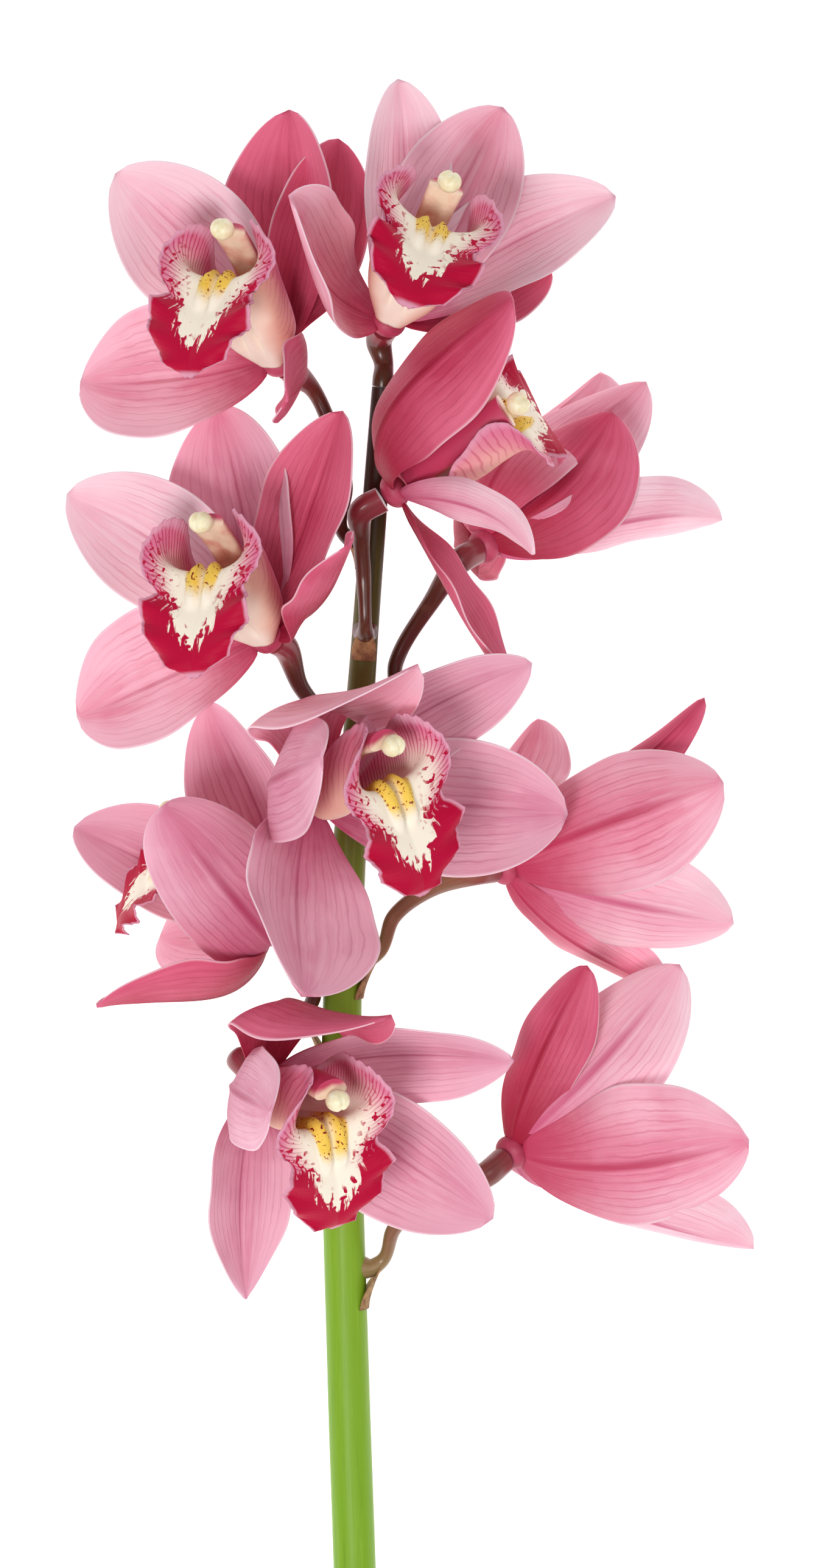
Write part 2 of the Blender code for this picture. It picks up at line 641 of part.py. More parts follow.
def bract_points(height, angle, length, stand):
    """A small pointed sheath that hugs the stem at its foot and stands off at its tip."""
    middle, radius, way = stem_at(height)
    us = np.array((0.0, 0.5, 1.0))
    vs = np.array((-1.0, -0.5, 0.0, 0.5, 1.0))
    points = np.zeros((len(us), len(vs), 3))
    for i, u in enumerate(us):
        spread = BRACT_SPREAD * (1 - 0.9 * u**1.6)
        off = radius - 0.35 + stand * u**1.5
        for j, v in enumerate(vs):
            side = stem_side(height, angle + spread * v)
            points[i, j] = middle + way * (length * u) + side * off
    return points


def build_stem():
    """Stem with its dry bracts."""
    green = make_material("stem_green", (0.17, 0.30, 0.03), 0.45)
    parts = [loft("stem", stem_rings(12, 12), green)]
    for k, (height, angle, length, stand) in enumerate(BRACTS):
        parts.append(sheet("bract_%d" % k, bract_points(height, angle, length, stand), BRACT_THICK, green))
    return joined("stem", parts)


def main():
    """Builds every piece, shades it smooth and sets it over the origin."""
    clear_scene()
    pieces = [build_stem()]
    for bloom in BLOOMS:
        pieces.append(build_pedicel(bloom))
        pieces.append(build_tepals(bloom))
        pieces.append(build_lip(bloom))
        pieces.append(build_column(bloom))
        pieces.append(build_cap(bloom))
    for piece in pieces:
        piece.location = [-MM * place for place in ORIGIN]
        piece.data.shade_smooth()
        piece.data.set_sharp_from_angle(angle=math.radians(SHARP_FROM))


if __name__ == "__main__":
    main()
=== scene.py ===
"""Looks of a cut orchid stem with ten open blooms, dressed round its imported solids.

The blooms are laid out in millimetres, in a layout whose z = 0 is the surface, with +Y towards the
stem's tip and +Z up. Meshes are in metres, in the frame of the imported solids.
"""

import functools
import logging
import math
from dataclasses import dataclass
from enum import Enum
from typing import Callable, Mapping, Optional, Sequence, Union

import bmesh
import bpy
import numpy as np
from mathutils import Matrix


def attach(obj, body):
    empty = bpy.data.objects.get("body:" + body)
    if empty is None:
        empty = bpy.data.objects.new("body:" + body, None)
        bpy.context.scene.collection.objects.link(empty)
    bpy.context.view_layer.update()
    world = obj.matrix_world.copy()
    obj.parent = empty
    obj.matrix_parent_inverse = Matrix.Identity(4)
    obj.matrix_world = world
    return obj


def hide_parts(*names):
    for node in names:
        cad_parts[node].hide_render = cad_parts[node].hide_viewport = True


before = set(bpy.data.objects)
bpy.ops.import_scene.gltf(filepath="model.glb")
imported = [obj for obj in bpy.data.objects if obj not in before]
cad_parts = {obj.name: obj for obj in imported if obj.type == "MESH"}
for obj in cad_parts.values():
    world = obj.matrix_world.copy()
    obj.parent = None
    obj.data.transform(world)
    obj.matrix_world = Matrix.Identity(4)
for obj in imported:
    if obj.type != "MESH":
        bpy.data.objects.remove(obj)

MM = 0.001
ORIGIN = (-0.355, -47.085, 0.04)  # layout point at the frame's origin
JOIN = 0.02  # layout points nearer than this are one
MARGIN_CROWD = 0.35  # how much a blade's cells crowd towards its margins
THIN_FROM = 0.7  # share of the half width past which a blade's wall thins
CREASE = 50.0  # degrees past which a bar's edge is sharp
LEAST_CURL = 0.001  # radians; keeps a flat blade from a division by zero
PROBE = 0.004  # step along a curve over which its slope is taken
FINE_GRAIN = 1500.0  # finest noise of the skins, per metre
RELIEF_DEPTH = 0.0002  # depth of the skins' relief, in metres
GLOW_REACH = (1.0, 0.35, 0.4)  # red, green and blue that a petal lets through
GLOW_DEPTH = 0.0016  # how deep that light goes, in metres

Value = Union[bpy.types.NodeSocket, float, Sequence[float]]
Keys = Sequence[Sequence[float]]

log = logging.getLogger("orchid")


def unit(v: np.ndarray) -> np.ndarray:
    """Vectors scaled to length one."""
    v = np.asarray(v, float)
    return v / np.linalg.norm(v, axis=-1, keepdims=True)


def ease(x: np.ndarray, start: float, end: float) -> np.ndarray:
    """Smooth step from 0 at start to 1 at end."""
    t = np.clip((np.asarray(x, float) - start) / (end - start), 0, 1)
    return t * t * (3 - 2 * t)


def rise_and_fall(x: np.ndarray, span: Sequence[float]) -> np.ndarray:
    """Rises from 0 to 1 between the first two places of a span, and falls between the others."""
    return ease(x, span[0], span[1]) * (1 - ease(x, span[2], span[3]))


def along_keys(x: np.ndarray, keys: Keys) -> np.ndarray:
    """Smooth curve through keys.

    Args:
        x: Places to read the curve at.
        keys: Rows of place and value, in order of place.

    Returns:
        The curve's value at each place.
    """
    places = np.array([k[0] for k in keys], float)
    values = np.array([k[1] for k in keys], float)
    slopes = np.gradient(values, places, axis=0)
    x = np.clip(x, places[0], places[-1])
    i = np.clip(np.searchsorted(places, x, side="right") - 1, 0, len(places) - 2)
    step = places[i + 1] - places[i]
    t = (x - places[i]) / step
    return ((2 * t**3 - 3 * t**2 + 1) * values[i] + (t**3 - 2 * t**2 + t) * step * slopes[i]
            + (3 * t**2 - 2 * t**3) * values[i + 1] + (t**3 - t**2) * step * slopes[i + 1])


def placed(points: np.ndarray) -> np.ndarray:
    """Layout millimetres as metres in the frame of the solids."""
    return (np.asarray(points, float) - np.array(ORIGIN)) * MM


class Pen:
    """Draws one material's nodes."""

    def __init__(self, name: str) -> None:
        """Starts a material on a new Principled shader.

        Args:
            name: The material's name.
        """
        self.material = bpy.data.materials.new(name)
        self.material.use_nodes = True
        self.tree = self.material.node_tree
        self.shader = self.tree.nodes["Principled BSDF"]

    def put(self, socket: bpy.types.NodeSocket, value: Value) -> None:
        """Links a socket, or sets its value.

        Args:
            socket: The input.
            value: A socket to link, a number, or a colour without its alpha.
        """
        if isinstance(value, bpy.types.NodeSocket):
            self.tree.links.new(value, socket)
        elif isinstance(value, (int, float)):
            socket.default_value = value
        else:
            socket.default_value = tuple(value) + (1.0,) * (len(socket.default_value) - len(value))

    def node(self, kind: str, inputs: Mapping[Union[int, str], Value],
             **settings: object) -> bpy.types.Node:
        """A new node.

        Args:
            kind: The node's type.
            inputs: What goes into its inputs, by their names or numbers.
            **settings: The node's own properties.

        Returns:
            The node.
        """
        made = self.tree.nodes.new(kind)
        for name, value in settings.items():
            setattr(made, name, value)
        for name, value in inputs.items():
            self.put(made.inputs[name], value)
        return made

    def math(self, operation: str, *values: Value, clamp: bool = False) -> bpy.types.NodeSocket:
        """A Math node over its values."""
        return self.node("ShaderNodeMath", dict(enumerate(values)), operation=operation,
                         use_clamp=clamp).outputs[0]

    def times(self, *values: Value) -> bpy.types.NodeSocket:
        """The product of two or more values."""
        return functools.reduce(lambda a, b: self.math("MULTIPLY", a, b), values)

    def plus(self, value: Value, other: Value, share: float = 1.0) -> bpy.types.NodeSocket:
        """A value and a share of another."""
        return self.math("ADD", value, other if share == 1.0 else self.times(other, share))

    def step(self, value: Value, start: float, end: float, low: float = 0.0,
             high: float = 1.0) -> bpy.types.NodeSocket:
        """A smooth step.

        Args:
            value: What is read.
            start: Where the step begins.
            end: Where it ends.
            low: The result at the start.
            high: The result at the end.

        Returns:
            The result's socket.
        """
        inputs = {"Value": value, "From Min": start, "From Max": end, "To Min": low, "To Max": high}
        return self.node("ShaderNodeMapRange", inputs, interpolation_type="SMOOTHSTEP").outputs[0]

    def mix(self, share: Value, first: Value, second: Value) -> bpy.types.NodeSocket:
        """A colour between two."""
        return self.node("ShaderNodeMix", {0: share, 6: first, 7: second}, data_type="RGBA",
                         blend_type="MIX", clamp_factor=True).outputs[2]

    def noise(self, place: Value, scale: float, detail: float = 3.0,
              roughness: float = 0.5) -> bpy.types.NodeSocket:
        """Noise from 0 to 1.

        Args:
            place: Where it is read.
            scale: How fine it is.
            detail: Its finer layers.
            roughness: How strong they are.

        Returns:
            The noise's socket.
        """
        inputs = {"Vector": place, "Scale": scale, "Detail": detail, "Roughness": roughness}
        return self.node("ShaderNodeTexNoise", inputs, noise_dimensions="3D").outputs["Fac"]

    def drift(self, place: Value, scale: float, detail: float = 2.0,
              roughness: float = 0.5) -> bpy.types.NodeSocket:
        """Noise from -0.5 to 0.5, with the arguments of noise."""
        return self.math("SUBTRACT", self.noise(place, scale, detail, roughness), 0.5)

    def specks(self, place: Value, scale: float, start: float, end: float) -> bpy.types.NodeSocket:
        """Small spots where noise passes from start to end."""
        return self.step(self.noise(place, scale, 1.0, 0.4), start, end)

    def vector(self, x: Value, y: Value, z: Value) -> bpy.types.NodeSocket:
        """A vector from three values."""
        return self.node("ShaderNodeCombineXYZ", {0: x, 1: y, 2: z}).outputs[0]

    def parts(self, place: bpy.types.NodeSocket) -> Sequence[bpy.types.NodeSocket]:
        """The three parts of a vector."""
        return self.node("ShaderNodeSeparateXYZ", {0: place}).outputs[:3]

    def object_place(self) -> bpy.types.NodeSocket:
        """Object coordinates."""
        return self.node("ShaderNodeTexCoord", {}).outputs["Object"]

    def attribute(self, name: str) -> bpy.types.NodeSocket:
        """A vector attribute of the mesh."""
        return self.node("ShaderNodeAttribute", {}, attribute_name=name).outputs["Vector"]

    def blade(self) -> Sequence[bpy.types.NodeSocket]:
        """Share along a blade, share across it, and that share without its sign."""
        across, along, _ = self.parts(self.attribute("blade"))
        return along, across, self.math("ABSOLUTE", across)

    def colour(self, value: Value) -> None:
        """Base colour."""
        self.put(self.shader.inputs["Base Color"], value)

    def relief(self, height: Value, strength: float, depth: float = RELIEF_DEPTH) -> None:
        """Bump from a height.

        Args:
            height: What rises.
            strength: How strongly it shades.
            depth: Its full height in metres.
        """
        made = self.node("ShaderNodeBump", {"Strength": strength, "Distance": depth,
                                            "Height": height})
        self.tree.links.new(made.outputs[0], self.shader.inputs["Normal"])

    def shine(self, roughness: Value, specular: float = 0.4, soft: float = 0.0) -> None:
        """Surface finish.

        Args:
            roughness: From mirror at 0 to chalk at 1.
            specular: Strength of the gloss.
            soft: Share of the light that is let in.
        """
        self.put(self.shader.inputs["Roughness"], roughness)
        self.shader.inputs["Specular IOR Level"].default_value = specular
        if soft:
            self.shader.inputs["Subsurface Weight"].default_value = soft
            self.shader.inputs["Subsurface Radius"].default_value = GLOW_REACH
            self.shader.inputs["Subsurface Scale"].default_value = GLOW_DEPTH


def painted(name: str, paint: Callable[[Pen], None]) -> bpy.types.Material:
    """A material that is painted when it is first asked for.

    Args:
        name: The material's name.
        paint: Draws its nodes.

    Returns:
        The material.
    """
    if name not in bpy.data.materials:
        paint(Pen(name))
    return bpy.data.materials[name]


class Side(Enum):
    """Which face of a tepal is painted."""
    INNER = "inner"
    OUTER = "outer"


def srgb(red: float, green: float, blue: float) -> Sequence[float]:
    """A colour from 0 to 255 as linear light."""
    return tuple(((c / 255 + 0.055) / 1.055) ** 2.4 if c > 10 else c / 255 / 12.92
                 for c in (red, green, blue))


class Tint(Enum):
    """Tones of the tepals: the ground, its flush, and the veins and base."""
    LIGHT = (srgb(252, 214, 225), srgb(243, 176, 196), srgb(206, 92, 130))
    ROSE = (srgb(249, 190, 207), srgb(232, 136, 163), srgb(190, 56, 92))
    DEEP = (srgb(224, 106, 138), srgb(198, 66, 98), srgb(158, 22, 54))
    MAUVE = (srgb(236, 176, 196), srgb(216, 132, 160), srgb(176, 62, 100))


@dataclass(frozen=True)
class TepalFinish:
    """Waxy pink blade with darker veins and a thin pale edge.

    Veins are counted over half a blade's width, and scales of noise are per metre.
    """
    tint: Tint
    edge: Sequence[float] = srgb(252, 226, 234)
    veins: float = 7.5
    fine_veins: float = 17.0
    fine_strength: float = 0.4
    vein_share: float = 0.42
    cloud_scale: float = 60.0
    wobble_scale: float = 260.0

    def material(self, side: Side) -> bpy.types.Material:
        """The skin of one face."""
        name = f"tepal_{self.tint.name.lower()}_{side.value}"
        return painted(name, lambda pen: self.paint(pen, side is Side.OUTER))

    def vein_lines(self, pen: Pen, drift: Value, wobble: Value) -> bpy.types.NodeSocket:
        """Veins that fade towards the tip and the margins, and in places.

        Args:
            pen: The material's pen.
            drift: Slow noise that bends them.
            wobble: Quick noise that bends them.

        Returns:
            Their strength.
        """
        along, across, off = pen.blade()
        sway = pen.plus(pen.times(drift, 1.1), wobble, 0.5)
        lines = [pen.step(pen.math("PINGPONG", pen.plus(sway, across, count), 0.5),
                          0.02, 0.17, strength, 0.0)
                 for count, strength in ((self.veins, 1.0), (self.fine_veins, self.fine_strength))]
        return pen.times(pen.math("MAXIMUM", *lines), pen.step(drift, -0.3, 0.25, 0.35, 1.0),
                         pen.step(along, 0.98, 0.6, 0.1, 1.0), pen.step(off, 0.98, 0.75, 0.0, 1.0))

    def paint(self, pen: Pen, outer: bool) -> None:
        """Paints the flush, the deep base, the veins, the midrib and the rim.

        Args:
            pen: The material's pen.
            outer: True for the back, which is darker.
        """
        pale, rose, deep = self.tint.value
        along, across, off = pen.blade()
        place = pen.object_place()
        drift = pen.drift(place, self.cloud_scale)
        wobble = pen.drift(place, self.wobble_scale)
        fine = pen.noise(place, FINE_GRAIN, 2.0)
        grain = pen.drift(pen.vector(pen.times(across, 5.0), along, drift), 2.2, 3.0, 0.6)
        flush = pen.plus(pen.step(off, 0.0, 0.9, 0.7, 0.0), drift, 1.4)
        flush = pen.plus(flush, pen.step(along, 0.0, 0.6, 0.5, -0.1))
        flush = pen.plus(flush, grain, 1.3)
        flush = pen.math("ADD", flush, 0.3 if outer else 0.0, clamp=True)
        skin = pen.mix(flush, pale, rose)
        base = pen.plus(pen.plus(along, wobble, 0.12), grain, 0.3)
        skin = pen.mix(pen.step(base, 0.0, 0.6 if outer else 0.38, 0.95, 0.0), skin, deep)
        vein = self.vein_lines(pen, drift, wobble)
        skin = pen.mix(pen.times(vein, self.vein_share), skin, deep)
        rib = pen.step(off, 0.012, 0.11 if outer else 0.05, 0.85 if outer else 0.5, 0.0)
        skin = pen.mix(pen.times(rib, pen.step(along, 0.95, 0.5, 0.0, 1.0)), skin, deep)
        rim = pen.times(pen.step(off, 0.95, 1.0, 0.0, 0.55), pen.step(along, 0.2, 0.5))
        pen.colour(pen.mix(rim, skin, self.edge))
        pen.shine(pen.step(fine, 0.2, 0.8, 0.45, 0.58), 0.25, soft=0.1)
        pen.relief(pen.plus(pen.times(vein, -0.6), fine, 0.3), 0.35)


@dataclass(frozen=True)
class LipFinish:
    """Lip with hair-fine veins, a crimson front and a yellow callus.

    Hairs are counted from root to tip, and scales of noise are per metre.
    """
    name: str = "lip"
    pink: Sequence[float] = srgb(222, 118, 152)
    cream: Sequence[float] = srgb(252, 240, 222)
    crimson: Sequence[float] = srgb(186, 0, 54)
    blotch: Sequence[float] = srgb(190, 44, 92)
    yellow: Sequence[float] = srgb(248, 206, 88)
    mauve: Sequence[float] = srgb(228, 164, 188)
    dots: Sequence[float] = srgb(140, 20, 30)
    peach: Sequence[float] = srgb(240, 196, 172)
    hairs: float = 66.0
    cloud_scale: float = 90.0
    speck_scale: float = 700.0
    drop_scale: float = 480.0
    dot_scale: float = 1300.0

    def inner(self) -> bpy.types.Material:
        """The face that the bloom shows."""
        return painted(self.name + "_inner", self.paint_inner)

    def outer(self) -> bpy.types.Material:
        """The back of the lip."""
        return painted(self.name + "_outer", self.paint_outer)

    def hair_lines(self, pen: Pen, along: Value, drift: Value, count: float
                   ) -> bpy.types.NodeSocket:
        """Distance from the nearest of a count of wavering cross lines."""
        return pen.math("PINGPONG", pen.plus(pen.times(along, count), drift, 3.0), 0.5)

    def crimson_front(self, pen: Pen, drift: Value) -> bpy.types.NodeSocket:
        """The mid-lobe's crimson, with a ragged upper edge and loose drops above it.

        Args:
            pen: The material's pen.
            drift: Slow noise.

        Returns:
            Its share.
        """
        along, across, off = pen.blade()
        fingers = pen.vector(pen.times(across, 9.0), pen.times(along, 7.0), drift)
        reach = pen.plus(along, pen.drift(fingers, 1.0, 3.0, 0.6), 0.3)
        front = pen.plus(reach, pen.step(off, 0.05, 0.7, 0.0, 0.17))
        patch = pen.times(pen.step(front, 0.83, 0.85), pen.step(along, 0.615, 0.65))
        drops = pen.times(pen.specks(pen.object_place(), self.drop_scale, 0.58, 0.61),
                          pen.step(front, 0.74, 0.8), pen.step(along, 0.58, 0.63))
        return pen.math("MAXIMUM", patch, drops)

    def paint_inner(self, pen: Pen) -> None:
        """Paints hairs and specks over pink and cream, the crimson front and the callus.

        Args:
            pen: The material's pen.
        """
        along, _, off = pen.blade()
        place = pen.object_place()
        drift = pen.drift(place, self.cloud_scale)
        fade = pen.plus(off, drift, 0.35)
        skin = pen.mix(pen.step(fade, 0.32, 0.95), self.cream, self.pink)
        hair = self.hair_lines(pen, along, drift, self.hairs)
        hair = pen.times(pen.step(hair, 0.03, 0.26, 1.0, 0.0), pen.step(fade, 0.35, 0.8, 0.0, 0.8))
        skin = pen.mix(hair, skin, self.blotch)
        speck = pen.times(pen.specks(place, self.speck_scale, 0.6, 0.64),
                          pen.step(off, 0.25, 0.5), pen.step(along, 0.42, 0.56))
        skin = pen.mix(speck, skin, self.crimson)
        skin = pen.mix(self.crimson_front(pen, drift), skin, self.crimson)
        rim = pen.math("MAXIMUM", pen.step(off, 0.9, 0.97), pen.step(along, 0.955, 0.985))
        skin = pen.mix(pen.times(rim, 0.85), skin, self.mauve)
        ridge = pen.times(pen.step(off, 0.23, 0.17), pen.step(off, 0.02, 0.07, 0.45, 1.0),
                          pen.step(along, 0.66, 0.6), pen.step(along, 0.3, 0.42))
        skin = pen.mix(ridge, skin, self.yellow)
        spots = pen.times(pen.specks(place, self.dot_scale, 0.62, 0.66), ridge)
        pen.colour(pen.mix(spots, skin, self.dots))
        pen.shine(0.55, 0.15)
        pen.relief(pen.plus(hair, pen.noise(place, FINE_GRAIN)), 0.3)

    def paint_outer(self, pen: Pen) -> None:
        """Paints faint hairs over cream, peach and pink.

        Args:
            pen: The material's pen.
        """
        along, _, off = pen.blade()
        place = pen.object_place()
        drift = pen.drift(place, self.cloud_scale)
        fade = pen.plus(pen.plus(pen.times(off, 0.8), along, 0.6), drift, 0.4)
        skin = pen.mix(pen.step(fade, 0.2, 0.6), self.cream, self.peach)
        skin = pen.mix(pen.step(fade, 0.5, 1.1), skin, self.pink)
        hair = self.hair_lines(pen, along, drift, self.hairs / 2)
        hair = pen.times(pen.step(hair, 0.03, 0.2, 0.5, 0.0), pen.step(off, 0.4, 0.9))
        skin = pen.mix(hair, skin, self.blotch)
        pen.colour(pen.mix(pen.step(off, 0.93, 0.99, 0.0, 0.6), skin, self.mauve))
        pen.shine(0.5, 0.2, soft=0.05)
        pen.relief(pen.noise(place, FINE_GRAIN), 0.2)


@dataclass(frozen=True)
class Skin:
    """A finish that covers a whole piece. Scales of noise are per metre."""
    name: str

    def paint(self, pen: Pen) -> None:
        """Draws the skin's nodes, in each kind of skin."""
        raise NotImplementedError

    def material(self) -> bpy.types.Material:
        """The skin's material."""
        return painted(self.name, self.paint)


@dataclass(frozen=True)
class StalkFinish(Skin):
    """Smooth fleshy skin with fine lengthwise streaks, coloured along its length."""
    foot: Sequence[float]
    body: Sequence[float]
    end: Sequence[float]
    shade: Sequence[float] = (0.02, 0.008, 0.005)
    dust: Sequence[float] = srgb(190, 150, 110)
    mottle_scale: float = 160.0

    def paint(self, pen: Pen) -> None:
        """Paints streaks and mottling over a skin that changes from foot to end.

        Args:
            pen: The material's pen.
        """
        _, _, along = pen.parts(pen.attribute("ring"))
        streak = pen.noise(pen.attribute("streak"), 4.0)
        mottle = pen.noise(pen.object_place(), self.mottle_scale, 3.0, 0.6)
        skin = pen.mix(pen.step(along, 0.0, 0.3), self.foot, self.body)
        skin = pen.mix(pen.step(along, 0.7, 1.0), skin, self.end)
        dark = pen.mix(0.4, skin, self.shade)
        pale = pen.mix(0.3, skin, self.dust)
        skin = pen.mix(pen.step(streak, 0.4, 0.7, 0.0, 0.5), skin, dark)
        pen.colour(pen.mix(pen.step(mottle, 0.5, 0.8, 0.0, 0.35), skin, pale))
        pen.shine(0.27, 0.4)
        pen.relief(streak, 0.2)


@dataclass(frozen=True)
class StemFinish(Skin):
    """Green at the cut, olive further up and dark brown at the tip.

    The olive and the brown each start and end at a height along +Y, in metres.
    """
    name: str = "stem_skin"
    green: Sequence[float] = srgb(126, 170, 38)
    light: Sequence[float] = srgb(160, 194, 72)
    olive: Sequence[float] = srgb(96, 98, 36)
    brown: Sequence[float] = srgb(48, 22, 10)
    shade: Sequence[float] = (0.02, 0.03, 0.004)
    olive_from: Sequence[float] = (-0.02, 0.06)
    brown_from: Sequence[float] = (0.06, 0.13)
    relief_depth: float = 0.0003

    def paint(self, pen: Pen) -> None:
        """Paints light and dark streaks over the three colours.

        Args:
            pen: The material's pen.
        """
        _, up, _ = pen.parts(pen.object_place())
        streak = pen.noise(pen.attribute("streak"), 5.0, 5.0, 0.6)
        height = pen.plus(up, pen.math("SUBTRACT", streak, 0.5), 0.06)
        skin = pen.mix(pen.step(height, *self.olive_from), self.green, self.olive)
        skin = pen.mix(pen.step(height, *self.brown_from), skin, self.brown)
        light = pen.mix(pen.step(up, 0.05, 0.1), self.light, self.olive)
        skin = pen.mix(pen.step(streak, 0.5, 0.85, 0.0, 0.45), skin, light)
        dark = pen.mix(0.5, skin, self.shade)
        pen.colour(pen.mix(pen.step(streak, 0.45, 0.2, 0.0, 0.5), skin, dark))
        pen.shine(0.42, 0.25)
        pen.relief(streak, 0.25, self.relief_depth)


@dataclass(frozen=True)
class PlainFinish(Skin):
    """One soft colour with a little mottling."""
    main: Sequence[float]
    second: Sequence[float]
    scale: float = 300.0
    roughness: float = 0.5
    soft: float = 0.0

    def paint(self, pen: Pen) -> None:
        """Paints the mottling.

        Args:
            pen: The material's pen.
        """
        cloud = pen.noise(pen.object_place(), self.scale, 4.0, 0.6)
        pen.colour(pen.mix(pen.step(cloud, 0.3, 0.7), self.main, self.second))
        pen.shine(self.roughness, 0.4, soft=self.soft)
        pen.relief(cloud, 0.2)


@dataclass(frozen=True)
class ColumnFinish(Skin):
    """Crimson-pink back that fades to an underside of salmon and cream."""
    name: str = "column_skin"
    back: Sequence[float] = srgb(196, 62, 98)
    salmon: Sequence[float] = srgb(212, 128, 112)
    cream: Sequence[float] = srgb(248, 222, 196)
    cloud_scale: float = 200.0
    grain_scale: float = 700.0

    def paint(self, pen: Pen) -> None:
        """Paints the back over the underside.

        Args:
            pen: The material's pen.
        """
        _, lift, along = pen.parts(pen.attribute("ring"))
        place = pen.object_place()
        drift = pen.drift(place, self.cloud_scale, 3.0)
        under = pen.mix(pen.step(pen.plus(along, drift), 0.4, 1.05), self.salmon, self.cream)
        pen.colour(pen.mix(pen.step(pen.plus(lift, drift, 0.6), -0.2, 0.6), under, self.back))
        pen.shine(0.35, 0.45, soft=0.1)
        pen.relief(pen.noise(place, self.grain_scale), 0.12)


def mesh_piece(bm: bmesh.types.BMesh, name: str, *materials: bpy.types.Material
               ) -> bpy.types.Object:
    """Turns an edit mesh into a piece, and frees it.

    Args:
        bm: The edit mesh, in layout millimetres.
        name: The piece's name.
        *materials: Its materials.

    Returns:
        The piece, in the frame of the solids.
    """
    for vert, place in zip(bm.verts, placed([v.co for v in bm.verts])):
        vert.co = place
    mesh = bpy.data.meshes.new(name)
    bm.to_mesh(mesh)
    bm.free()
    mesh.shade_smooth()
    for material in materials:
        mesh.materials.append(material)
    piece = bpy.data.objects.new(name, mesh)
    bpy.context.scene.collection.objects.link(piece)
    return piece


def kept(piece: bpy.types.Object, node: str) -> None:
    """Attaches a piece to the root body, hides the solid that it stands for, and reports it.

    Args:
        piece: The piece.
        node: The solid's node.
    """
    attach(piece, "root")
    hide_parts(node)
    log.info("%s stands for %s", piece.name, node)


def laid_blade(name: str, columns: int, rows: int, lay: Callable, thickness: float,
               materials: Sequence[bpy.types.Material], turned: bool = False,
               edge: float = 0.4) -> bpy.types.Object:
    """A thin blade laid on a curved surface.

    Args:
        name: The piece's name.
        columns: Cells from margin to margin.
        rows: Cells from root to tip.
        lay: Gives layout points for shares along and across.
        thickness: Wall in millimetres.
        materials: The face towards the front, then the other.
        turned: True where the surface's own face points away from the front.
        edge: Share of the wall that is left at the margins.

    Returns:
        The piece.
    """
    bm = bmesh.new()
    bmesh.ops.create_grid(bm, x_segments=columns, y_segments=rows, size=0.5)
    flat = np.array([v.co for v in bm.verts])
    across, along = flat[:, 0] * 2, flat[:, 1] + 0.5
    across = across * (1 + MARGIN_CROWD - MARGIN_CROWD * across**2)
    blade = bm.verts.layers.float_vector.new("blade")
    weights = bm.verts.layers.deform.new()
    inward = 1 - ease(np.abs(across), THIN_FROM, 1.0)
    for vert, place, u, v, weight in zip(bm.verts, lay(along, across), along, across, inward):
        vert.co = place
        vert[blade] = (v, u, 0.0)
        vert[weights][0] = weight
    bmesh.ops.remove_doubles(bm, verts=bm.verts, dist=JOIN)
    if turned:
        bmesh.ops.reverse_faces(bm, faces=bm.faces)
    piece = mesh_piece(bm, name, *materials)
    wall = piece.modifiers.new("Wall", "SOLIDIFY")
    wall.thickness = thickness * MM
    wall.vertex_group = piece.vertex_groups.new(name="wall").name
    wall.thickness_vertex_group = edge
    wall.offset = 0.0
    wall.use_even_offset = False
    wall.material_offset = 1
    wall.material_offset_rim = 0
    return piece


def ball(name: str, sides: int, shape: Callable, material: bpy.types.Material,
         rows: int = 18) -> bpy.types.Object:
    """A closed round piece shaped from a sphere.

    Args:
        name: The piece's name.
        sides: Faces round it.
        shape: Gives layout points for the points of a sphere of radius one.
        material: Its skin.
        rows: Faces from pole to pole.

    Returns:
        The piece.
    """
    bm = bmesh.new()
    bmesh.ops.create_uvsphere(bm, u_segments=sides, v_segments=rows, radius=1.0)
    for vert, place in zip(bm.verts, shape(np.array([v.co for v in bm.verts]))):
        vert.co = place
    bm.normal_update()
    bmesh.ops.recalc_face_normals(bm, faces=bm.faces)
    return mesh_piece(bm, name, material)


def bar(name: str, rings: np.ndarray, alongs: np.ndarray, material: bpy.types.Material,
        streak: float = 1.0) -> bpy.types.Object:
    """A closed round bar, with ring and streak attributes for its skin.

    Args:
        name: The piece's name.
        rings: Layout points, ring by ring.
        alongs: Each ring's share along the bar.
        material: Its skin.
        streak: How far the streak attribute runs from end to end.

    Returns:
        The piece.
    """
    count, sides = rings.shape[:2]
    bm = bmesh.new()
    bmesh.ops.create_circle(bm, cap_ends=True, segments=sides, radius=1.0)
    ring_layer = bm.verts.layers.float_vector.new("ring")
    streak_layer = bm.verts.layers.float_vector.new("streak")
    ring = sorted(bm.verts, key=lambda v: math.atan2(v.co.y, v.co.x) % (2 * math.pi - 0.0001))
    edges = list(bm.edges)
    for k in range(count):
        if k:
            made = bmesh.ops.extrude_edge_only(bm, edges=edges)
            edges = [g for g in made["geom"] if isinstance(g, bmesh.types.BMEdge)]
            new = {v for e in edges for v in e.verts}
            ring = [next(o for o in (e.other_vert(v) for e in v.link_edges) if o in new)
                    for v in ring]
        for j, vert in enumerate(ring):
            angle = 2 * math.pi * j / sides
            vert.co = rings[k, j]
            vert[ring_layer] = (math.cos(angle), math.sin(angle), alongs[k])
            vert[streak_layer] = (math.cos(angle), math.sin(angle), alongs[k] * streak)
    bmesh.ops.contextual_create(bm, geom=edges)
    bm.normal_update()
    bmesh.ops.recalc_face_normals(bm, faces=bm.faces)
    piece = mesh_piece(bm, name, material)
    piece.data.set_sharp_from_angle(angle=math.radians(CREASE))
    return piece


